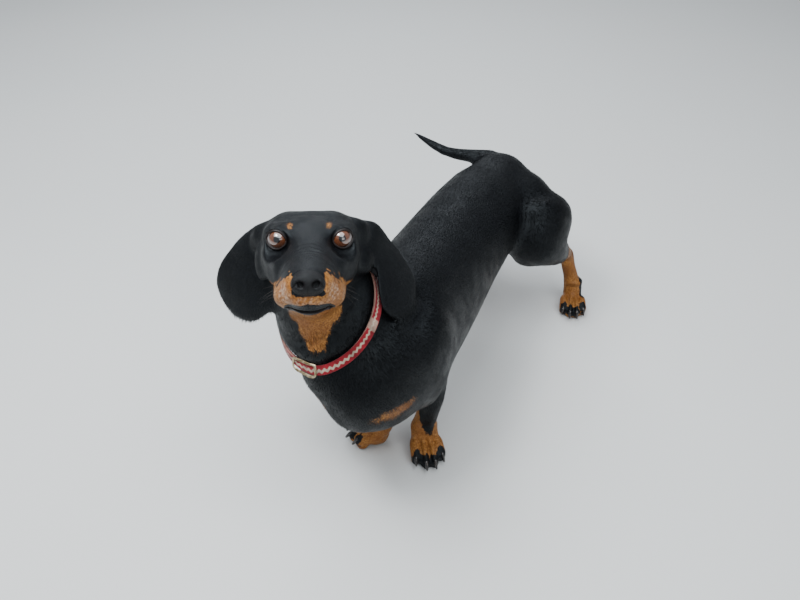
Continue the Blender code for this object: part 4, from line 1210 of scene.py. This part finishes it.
def coat_nodes():
    """Node group: tufts over the skin, along its flow and in one area."""
    tree = bpy.data.node_groups.new("coat", "GeometryNodeTree")
    for name, kind in (("Geometry", "NodeSocketGeometry"), ("Area", "NodeSocketInt"),
                       ("Density", "NodeSocketFloat"), ("Length", "NodeSocketFloat"),
                       ("Width", "NodeSocketFloat"), ("Lift", "NodeSocketFloat"), ("Seed", "NodeSocketInt"),
                       ("Tuft", "NodeSocketObject"), ("Material", "NodeSocketMaterial")):
        tree.interface.new_socket(name, in_out="INPUT", socket_type=kind)
    tree.interface.new_socket("Geometry", in_out="OUTPUT", socket_type="NodeSocketGeometry")

    def node(kind, inputs=(), **settings):
        return add_node(tree, kind, inputs, **settings)

    def read(name, kind="FLOAT"):
        found = node("GeometryNodeInputNamedAttribute", {"Name": name}, data_type=kind)
        return found.outputs["Attribute"]

    def maths(operation, *values):
        return node("ShaderNodeMath", enumerate(values), operation=operation).outputs[0]

    given = node("NodeGroupInput").outputs
    chosen = node("FunctionNodeCompare", {2: read("area", "INT"), 3: given["Area"]},
                  data_type="INT", operation="EQUAL").outputs[0]
    density = maths("MULTIPLY", read("tufts"), given["Density"])
    scatter = node("GeometryNodeDistributePointsOnFaces",
                   {"Mesh": given["Geometry"], "Selection": chosen, "Density": density,
                    "Seed": given["Seed"]},
                   distribute_method="RANDOM")
    normal = scatter.outputs["Normal"]

    def random(low, high, extra):
        seed = maths("ADD", given["Seed"], extra)
        draw = node("FunctionNodeRandomValue", {2: low, 3: high, "Seed": seed}, data_type="FLOAT")
        return draw.outputs[1]

    up = node("FunctionNodeAlignRotationToVector", {"Vector": normal}, axis="Z").outputs[0]
    along = node("FunctionNodeAlignRotationToVector",
                 {"Rotation": up, "Vector": read("flow", "FLOAT_VECTOR")},
                 axis="Y", pivot_axis="Z").outputs[0]
    lift = maths("MULTIPLY", given["Lift"], random(0.5, 1.4, 3.0))
    tilt = node("ShaderNodeCombineXYZ", {0: lift, 1: random(-0.09, 0.09, 4.0), 2: random(-0.10, 0.10, 5.0)})
    turned = node("FunctionNodeRotateRotation", {"Rotation": along, "Rotate By": tilt.outputs[0]},
                  rotation_space="LOCAL").outputs[0]
    long = maths("MULTIPLY", maths("MULTIPLY", read("length"), given["Length"]), random(0.65, 1.2, 6.0))
    slim = maths("SQRT", read("length"))
    wide = maths("MULTIPLY", maths("MULTIPLY", slim, given["Width"]), random(0.7, 1.25, 7.0))
    thick = maths("MULTIPLY", wide, TUFT_THICK)
    size = node("ShaderNodeCombineXYZ", {0: wide, 1: long, 2: thick}).outputs[0]
    shape = node("GeometryNodeObjectInfo", {"Object": given["Tuft"]}, transform_space="ORIGINAL")
    local = node("GeometryNodeInputPosition").outputs[0]
    patch_size = node("ShaderNodeVectorMath", {0: local, 1: TUFT_PATCH}, operation="MULTIPLY")
    marked = node("GeometryNodeStoreNamedAttribute",
                  {"Geometry": shape.outputs["Geometry"], "Name": "patch", "Value": patch_size.outputs[0]},
                  data_type="FLOAT_VECTOR", domain="POINT")
    root = node("GeometryNodeStoreNamedAttribute",
                {"Geometry": scatter.outputs["Points"], "Name": "root",
                 "Value": read("OFBake", "FLOAT_VECTOR")},
                data_type="FLOAT_VECTOR", domain="POINT")
    sunk = node("ShaderNodeVectorMath", {0: normal, "Scale": -ROOT_DEPTH}, operation="SCALE")
    lowered = node("GeometryNodeSetPosition", {"Geometry": root.outputs[0], "Offset": sunk.outputs[0]})
    placed = node("GeometryNodeInstanceOnPoints",
                  {"Points": lowered.outputs[0], "Instance": marked.outputs[0],
                   "Rotation": turned, "Scale": size})
    real = node("GeometryNodeRealizeInstances", {"Geometry": placed.outputs[0]})
    bake_at = node("ShaderNodeVectorMath",
                   {0: read("root", "FLOAT_VECTOR"), 1: read("patch", "FLOAT_VECTOR")}, operation="ADD")
    mapped = node("GeometryNodeStoreNamedAttribute",
                  {"Geometry": real.outputs[0], "Name": "OFBake", "Value": bake_at.outputs[0]},
                  data_type="FLOAT2", domain="CORNER")
    clean = mapped
    for name in ("root", "patch", "flow", "length", "tufts", "area", "nose", "bare"):
        clean = node("GeometryNodeRemoveAttribute", {"Geometry": clean.outputs[0], "Name": name})
    painted = node("GeometryNodeSetMaterial", {"Geometry": clean.outputs[0], "Material": given["Material"]})
    node("NodeGroupOutput", {0: painted.outputs[0]})
    return tree


class DACHSHUND_OT_coat(bpy.types.Operator):
    """Short tufts over the skin, which lie the way the coat does"""
    bl_idname = "dachshund.coat"
    bl_label = "Coat"

    def execute(self, context):
        settings = context.scene.dachshund_coat
        skin = bpy.data.objects["skin"]
        tuft = tuft_shape()
        tree = coat_nodes()
        inputs = {item.name: item.identifier for item in tree.interface.items_tree if item.in_out == "INPUT"}
        material = tuft_material()
        for number, area in enumerate(AREAS):
            host = link(bpy.data.objects.new("coat_" + area, skin.data))
            grow = host.modifiers.new("Coat", "NODES")
            grow.node_group = tree
            for name, value in (("Area", number), ("Density", settings.density), ("Length", settings.length),
                                ("Width", settings.width), ("Lift", settings.lift), ("Seed", 40 + number),
                                ("Tuft", tuft), ("Material", material)):
                grow[inputs[name]] = value
            settle(host)
            if len(host.data.polygons) == 0:
                raise RuntimeError("no tufts were made on the " + area)
            host.data.shade_smooth()
            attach(host, "root")
        bpy.data.objects.remove(tuft)
        return {"FINISHED"}


# The eyes

# How far each eye looks towards the camera and how far straight ahead
GAZE_CAMERA = 0.55
GAZE_AHEAD = 0.45
CORNEA_RISE = 0.0011
CORNEA_REACH = 1.1


def eye_material():
    graph = Graph("eye")
    settings = bpy.context.scene.dachshund_eye
    radius = graph.attribute("radius")
    spoke = graph.attribute("spoke")
    iris = settings.iris
    streak = graph.node("ShaderNodeTexNoise", {"W": graph.math("MULTIPLY", spoke, 60.0), "Scale": 1.0,
                                               "Detail": 3.0}, noise_dimensions="1D").outputs[0]
    brown = graph.mix(graph.span(streak, 0.3, 0.7), toned(settings.brown, 0.55), toned(settings.brown, 1.5))
    brown = graph.mix(graph.span(radius, settings.pupil, iris), brown, toned(settings.brown, 1.3))
    brown = graph.mix(graph.span(radius, iris * 0.82, iris), brown, (0.010, 0.005, 0.004))
    pupil_edge = graph.span(radius, settings.pupil * 0.93, settings.pupil * 1.05)
    colour = graph.mix(pupil_edge, (0.002, 0.002, 0.003), brown)
    # The white of the eye round the iris: its own colour, made pale to stand for the wet lower lid's bright
    # shine, a painted reflection
    colour = graph.mix(graph.span(radius, iris * 0.99, iris * 1.05), colour, (0.42, 0.36, 0.35))
    return graph.finish(Base_Color=colour, Roughness=0.06, Specular_IOR_Level=1.0, IOR=1.45,
                        Coat_Weight=1.0, Coat_Roughness=0.02, Coat_IOR=1.9)


class DACHSHUND_OT_eyes(bpy.types.Operator):
    """Eyeballs with a domed cornea"""
    bl_idname = "dachshund.eyes"
    bl_label = "Eyes"

    def execute(self, context):
        settings = context.scene.dachshund_eye
        material = eye_material()
        rows, around = 40, 64
        for side, centre in EYES.items():
            ahead = eye_frame(side).to_3x3() @ Vector((0, -1, 0))
            look = ((CAMERA_AT - centre).normalized() * GAZE_CAMERA + ahead * GAZE_AHEAD).normalized()
            turn = look.to_track_quat("Y", "Z").to_matrix().to_4x4()
            place = Matrix.Translation(centre) @ turn
            points, radii, spokes, faces = [], [], [], []
            for r in range(rows + 1):
                angle = math.pi * (r / rows) ** 1.35
                flat = math.sin(angle) * EYE_RADIUS
                deep = math.cos(angle) * EYE_RADIUS
                if angle < math.pi / 2 and flat < settings.iris * CORNEA_REACH:
                    deep += CORNEA_RISE * (1 - (flat / (settings.iris * CORNEA_REACH)) ** 2)
                for k in range(around):
                    spoke = 2 * math.pi * k / around
                    points.append(place @ Vector((flat * math.cos(spoke), deep, flat * math.sin(spoke))))
                    radii.append(flat if angle < math.pi / 2 else EYE_RADIUS * 2)
                    spokes.append(abs(spoke / math.pi - 1))
            for r in range(rows):
                for k in range(around):
                    n = (k + 1) % around
                    a, b = r * around, (r + 1) * around
                    faces.append((a + k, a + n, b + n, b + k))
            eye = new_object("eyeball_" + side, points, faces)
            store(eye.data, "radius", np.array(radii))
            store(eye.data, "spoke", np.array(spokes))
            facing_out(eye, merge=0.000001)
            paint(eye, material)
            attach(eye, "root")
            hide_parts("eye_" + side)
        return {"FINISHED"}


def wet_material():
    graph = Graph("wet lid")
    speck = graph.noise(graph.place(), 700.0, 2.0)
    colour = graph.mix(speck, (0.0030, 0.0022, 0.0022), (0.0190, 0.0130, 0.0125))
    normal = graph.bump(speck, 0.3, 0.0002)
    return graph.finish(Base_Color=colour, Roughness=0.40, Normal=normal, Specular_IOR_Level=0.30)


RIM_STEPS = 72
RIM_RADIUS = 0.00070
RIM_RADIUS_MORE_ABOVE = 0.00035


class DACHSHUND_OT_lids(bpy.types.Operator):
    """The dark wet rims of the lids and the corner of each eye"""
    bl_idname = "dachshund.lids"
    bl_label = "Lids"

    def execute(self, context):
        material = wet_material()
        for side in EYES:
            sign = 1 if side == "left" else -1
            place = eye_frame(side)
            rows = []
            for k in range(RIM_STEPS):
                angle = 2 * math.pi * k / RIM_STEPS
                x, z = lid_curve(angle)
                stretch = 1.03 + 0.02 * abs(math.cos(angle)) ** 6
                x, z = x * stretch, z * stretch
                y = -math.sqrt(max(0.0, (EYE_RADIUS + 0.0008) ** 2 - x * x - z * z))
                thick = RIM_RADIUS + RIM_RADIUS_MORE_ABOVE * max(0.0, math.sin(angle))
                rows.append((x, y, z, thick, thick, thick))
            form = Form()
            form.tube(rows, (0, 1, 0), place, sides=10, closed=True)
            x = -LID_WIDTH / 2 * 0.97 * sign
            corner = (x, -math.sqrt(EYE_RADIUS**2 - x * x) - 0.0001, -0.0008)
            form.ball(corner, (0.0014, 0.0009, 0.0012), place, around=14, along=8)
            rim = form.make("lid_rims_" + side)
            paint(rim, material)
            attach(rim, "root")
        return {"FINISHED"}


# Claws and whiskers


def claw_material():
    graph = Graph("claw")
    place = graph.place()
    streak = graph.noise(place, 350.0, 3.0)
    colour = graph.mix(graph.span(streak, 0.35, 0.7), (0.0045, 0.0038, 0.0038), (0.040, 0.032, 0.028))
    normal = graph.bump(graph.noise(place, 1300.0, 2.0), 0.25, 0.0002)
    return graph.finish(Base_Color=colour, Roughness=0.24, Normal=normal, Specular_IOR_Level=0.7)


CLAW_LENGTH = 0.0068
CLAW_DROP = 0.0066
CLAW_RADIUS = 0.0030


class DACHSHUND_OT_claws(bpy.types.Operator):
    """A curved claw on each toe"""
    bl_idname = "dachshund.claws"
    bl_label = "Claws"

    def execute(self, context):
        form = Form()
        for name in PAWS:
            place = foot_frame(name)
            for tip, splay in toe_points(FEET[name]["size"]):
                lean = Matrix.Rotation(math.radians(splay) * 0.8, 4, "Z")
                rows = []
                for t in (0, 0.2, 0.4, 0.6, 0.8, 1.0):
                    reach = Vector((0, -CLAW_LENGTH * t - 0.0022, 0.0022 - CLAW_DROP * t**1.5))
                    radius = CLAW_RADIUS * (1 - 0.62 * t**1.6)
                    rows.append((*(tip + lean @ reach), radius * 0.75, radius, radius * 0.9))
                form.tube(rows, (0, 0, 1), place, sides=12, per_span=2)
        claws = form.make("claws")
        paint(claws, claw_material())
        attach(claws, "root")
        return {"FINISHED"}


WHISKER_RADIUS = 0.00012
WHISKER_ROOT = 0.0006


class DACHSHUND_OT_whiskers(bpy.types.Operator):
    """Fine whiskers on the muzzle, over the eyes and under the chin"""
    bl_idname = "dachshund.whiskers"
    bl_label = "Whiskers"

    def execute(self, context):
        skin = bpy.data.objects["skin"]
        tree = tree_of(skin.data, points_of(skin.data))
        draw = np.random.default_rng(8)
        spin = HEAD_SPIN.to_3x3()
        form = Form()
        starts = []
        for row in range(2):
            for step in range(3):
                at = (0.032, -0.070 + 0.012 * step + 0.005 * row, -0.028 - 0.006 * row)
                starts.append((at, (1, 0.45 + 0.15 * step, -0.55), 0.017))
        starts.append(((0.014, -0.004, 0.022), (0.35, -0.5, 1.0), 0.012))
        starts.append(((0.017, 0.000, 0.022), (0.5, -0.3, 1.0), 0.011))
        starts.append(((0.008, -0.060, -0.075), (0.3, -0.3, -1), 0.010))
        for sign in (1, -1):
            for at, way, long in starts:
                start = HEAD @ Vector((at[0] * sign, at[1], at[2]))
                hit, normal, _, _ = tree.find_nearest(start)
                way = Vector((way[0] * sign, way[1], way[2])) + Vector(draw.normal(0, 0.12, 3))
                way = (spin @ way).normalized()
                long = long * draw.uniform(0.7, 1.15)
                droop = Vector((0, 0, -1)) * long * draw.uniform(0.10, 0.22)
                rows = []
                for t in (0, 0.33, 0.66, 1.0):
                    thick = WHISKER_RADIUS * (1 - 0.75 * t)
                    at = hit - normal * WHISKER_ROOT + way * long * t + droop * t * t
                    rows.append((*at, thick, thick, thick))
                form.tube(rows, spin @ Vector((0.2, 0.3, 1)), Matrix.Identity(4), sides=5, per_span=2)
        whiskers = form.make("whiskers")
        graph = Graph("whisker")
        tone = graph.noise(graph.place(), 120.0, 2.0)
        colour = graph.mix(tone, (0.006, 0.005, 0.005), (0.050, 0.042, 0.038))
        paint(whiskers, graph.finish(Base_Color=colour, Roughness=0.35))
        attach(whiskers, "root")
        return {"FINISHED"}


# The collar


THREADS_ROUND = 190
THREADS_ACROSS = 7
ZIGZAGS = 150.0


def webbing_material():
    """Red cloth with a cream zigzag, over threads counted round the strap and across it."""
    settings = bpy.context.scene.dachshund_collar
    graph = Graph("webbing")
    turn = graph.attribute("round")
    high = graph.attribute("across")
    red, cream = tuple(settings.red), tuple(settings.cream)
    wear = graph.noise(graph.place(), 160.0, 4.0)
    wave_round = graph.math("SINE", graph.math("MULTIPLY", turn, 2 * math.pi * THREADS_ROUND))
    wave_across = graph.math("SINE", graph.math("MULTIPLY", high, math.pi * THREADS_ACROSS))
    threads = graph.math("MULTIPLY", wave_round, wave_across)
    cloth = graph.mix(graph.span(wear, 0.3, 0.75), toned(red, 0.62), toned(red, 1.2))
    dirty = graph.mix(graph.span(wear, 0.35, 0.75), toned(cream, 0.55), cream)
    zigzag = graph.math("PINGPONG", graph.math("MULTIPLY", turn, ZIGZAGS), 1.0)
    middle = graph.math("MULTIPLY_ADD", zigzag, 0.24, 0.20)
    away = graph.math("ABSOLUTE", graph.math("SUBTRACT", high, middle))
    stripe = graph.math("SUBTRACT", 1.0, graph.span(away, 0.12, 0.19))
    edge = graph.span(graph.math("ABSOLUTE", high), 0.90, 0.97, 0.0, 0.5)
    pattern = graph.math("MAXIMUM", stripe, edge)
    # Two places where the webbing is plain
    bare_right = graph.math("MULTIPLY", graph.span(turn, 0.872, 0.876), graph.span(turn, 0.902, 0.898))
    bare_left = graph.math("MULTIPLY", graph.span(turn, 0.196, 0.200), graph.span(turn, 0.232, 0.228))
    plain = graph.math("MULTIPLY", graph.math("ADD", bare_left, bare_right), graph.span(high, -0.55, -0.40))
    pattern = graph.math("MAXIMUM", pattern, graph.math("MULTIPLY", plain, 0.65))
    colour = graph.mix(pattern, cloth, dirty)
    # Darker in the hollows between the threads: painted shade in the weave
    colour = graph.mix(graph.span(threads, -0.2, -0.9, 0.0, 0.35), colour, (0.05, 0.008, 0.009))
    normal = graph.bump(threads, 0.5, 0.00025, graph.bump(wear, 0.2, 0.0005))
    return graph.finish(Base_Color=colour, Roughness=0.78, Normal=normal, Specular_IOR_Level=0.25,
                        Sheen_Weight=0.15, Sheen_Roughness=0.5)


def brass_material():
    graph = Graph("worn brass")
    place = graph.place()
    wear = graph.noise(place, 260.0, 4.0)
    colour = graph.mix(graph.span(wear, 0.35, 0.7), (0.30, 0.22, 0.11), (0.66, 0.56, 0.38))
    normal = graph.bump(graph.noise(place, 900.0, 3.0), 0.2, 0.0003)
    return graph.finish(Base_Color=colour, Metallic=0.85, Roughness=graph.span(wear, 0.3, 0.8, 0.28, 0.5),
                        Normal=normal)


def plastic_material():
    graph = Graph("grey plastic")
    place = graph.place()
    wear = graph.noise(place, 200.0, 3.0)
    colour = graph.mix(wear, (0.030, 0.033, 0.038), (0.085, 0.090, 0.098))
    normal = graph.bump(graph.noise(place, 1200.0, 2.0), 0.35, 0.0002)
    return graph.finish(Base_Color=colour, Roughness=0.55, Normal=normal)


class DACHSHUND_OT_collar(bpy.types.Operator):
    """A woven strap with a zigzag stripe, its metal slide and the small clip"""
    bl_idname = "dachshund.collar"
    bl_label = "Collar"

    def execute(self, context):
        strap = link(bpy.data.objects.new("strap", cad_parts["collar_strap"].data.copy()))
        facing_out(strap, merge=0.00001)
        crease = strap.modifiers.new("Edges", "BEVEL")
        crease.width = 0.0004
        crease.segments = 1
        crease.limit_method = "ANGLE"
        crease.angle_limit = math.radians(25)
        smooth = strap.modifiers.new("Smooth", "SUBSURF")
        smooth.levels = smooth.render_levels = 2
        settle(strap)
        strap.data.shade_smooth()
        local = into(COLLAR, points_of(strap.data))
        angle = np.arctan2(local[:, 1], local[:, 0]) / (2 * math.pi)
        store(strap.data, "round", angle % 1)
        store(strap.data, "across", local[:, 2] / STRAP_HALF)
        paint(strap, webbing_material())
        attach(strap, "root")
        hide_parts("collar_strap")
        paint(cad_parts["collar_slide"], brass_material())
        paint(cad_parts["collar_clip"], plastic_material())
        return {"FINISHED"}


# The stage


LIT_AT = Vector((0, -0.02, 0.16))
# Each light: its name, its direction and distance from the animal, its size, its power and its colour
LIGHTS = (
    ("overhead", (0.02, -0.25, 1.0), 1.4, (2.2, 1.3), 37, (0.93, 0.97, 1.0)),
    ("key", (-0.22, -0.42, 0.92), 1.15, (0.34, 0.26), 8.0, (0.97, 0.98, 1.0)),
    ("rear", (-0.55, 0.85, 0.75), 1.7, (1.0, 0.7), 11, (0.90, 0.95, 1.0)),
    ("fill", (0.9, -0.6, 0.40), 1.8, (1.0, 0.8), 5, (1.0, 0.97, 0.94)),
)
SKY_COLOUR = (0.86, 0.92, 1.0, 1)
SKY_STRENGTH = 0.34
FLOOR_HALF = 30.0


def softbox(name, direction, distance, size, power, colour):
    light = bpy.data.lights.new(name, "AREA")
    light.shape = "RECTANGLE"
    light.size, light.size_y = size
    light.energy = power * bpy.context.scene.dachshund_stage.light
    light.color = colour
    lamp = link(bpy.data.objects.new(name, light))
    way = Vector(direction).normalized()
    lamp.location = LIT_AT + way * distance
    lamp.rotation_euler = (-way).to_track_quat("-Z", "Y").to_euler()


class DACHSHUND_OT_stage(bpy.types.Operator):
    """Pale floor, soft studio lights and the camera at the photograph's angle"""
    bl_idname = "dachshund.stage"
    bl_label = "Stage"

    def execute(self, context):
        settings = context.scene.dachshund_stage
        scene = context.scene
        camera = bpy.data.cameras.new("camera")
        camera.sensor_width = 36
        camera.lens = CAMERA_LENS
        camera.clip_start = 0.01
        holder = bpy.data.objects.new("camera", camera)
        holder.location = CAMERA_AT
        way = Vector((-math.sin(CAMERA_TURN) * math.cos(CAMERA_DOWN),
                      math.cos(CAMERA_TURN) * math.cos(CAMERA_DOWN), -math.sin(CAMERA_DOWN)))
        holder.rotation_euler = way.to_track_quat("-Z", "Y").to_euler()
        scene.camera = link(holder)
        corners = [(FLOOR_HALF * x, FLOOR_HALF * y, 0) for x, y in ((-1, -1), (1, -1), (1, 1), (-1, 1))]
        floor = new_object("floor", corners, [(0, 1, 2, 3)], smooth=False)
        graph = Graph("floor")
        grain = graph.noise(graph.place(), 3.0, 2.0)
        tone = tuple(settings.floor)
        colour = graph.mix(grain, tone, toned(tone, 0.96))
        paint(floor, graph.finish(Base_Color=colour, Roughness=0.85))
        world = bpy.data.worlds.new("studio")
        scene.world = world
        world.use_nodes = True
        background = world.node_tree.nodes["Background"]
        background.inputs["Color"].default_value = SKY_COLOUR
        background.inputs["Strength"].default_value = SKY_STRENGTH * settings.light
        for light in LIGHTS:
            softbox(*light)
        return {"FINISHED"}


class DACHSHUND_PT_panel(bpy.types.Panel):
    """Lists the pieces in the order they are made"""
    bl_label = "Dachshund"
    bl_idname = "DACHSHUND_PT_panel"
    bl_space_type = "VIEW_3D"
    bl_region_type = "UI"
    bl_category = "Dachshund"

    def draw(self, context):
        for name in SETTINGS:
            box = self.layout.box()
            group = getattr(context.scene, name)
            for key in group.bl_rna.properties.keys():
                if key not in {"rna_type", "name"}:
                    box.prop(group, key)
        for operator in OPERATORS:
            self.layout.operator(operator.bl_idname)


SETTINGS = {
    "dachshund_skin": SkinSettings,
    "dachshund_coat": CoatSettings,
    "dachshund_eye": EyeSettings,
    "dachshund_collar": CollarSettings,
    "dachshund_stage": StageSettings,
}
OPERATORS = (
    DACHSHUND_OT_skin,
    DACHSHUND_OT_coat,
    DACHSHUND_OT_eyes,
    DACHSHUND_OT_lids,
    DACHSHUND_OT_claws,
    DACHSHUND_OT_whiskers,
    DACHSHUND_OT_collar,
    DACHSHUND_OT_stage,
)


def register():
    for name, group in SETTINGS.items():
        bpy.utils.register_class(group)
        setattr(bpy.types.Scene, name, bpy.props.PointerProperty(type=group))
    for operator in OPERATORS:
        bpy.utils.register_class(operator)
    bpy.utils.register_class(DACHSHUND_PT_panel)


def unregister():
    bpy.utils.unregister_class(DACHSHUND_PT_panel)
    for operator in reversed(OPERATORS):
        bpy.utils.unregister_class(operator)
    for name, group in SETTINGS.items():
        delattr(bpy.types.Scene, name)
        bpy.utils.unregister_class(group)


def main():
    register()
    bpy.ops.dachshund.skin()
    bpy.ops.dachshund.coat()
    bpy.ops.dachshund.eyes()
    bpy.ops.dachshund.lids()
    bpy.ops.dachshund.claws()
    bpy.ops.dachshund.whiskers()
    bpy.ops.dachshund.collar()
    bpy.ops.dachshund.stage()


if __name__ == "__main__":
    main()
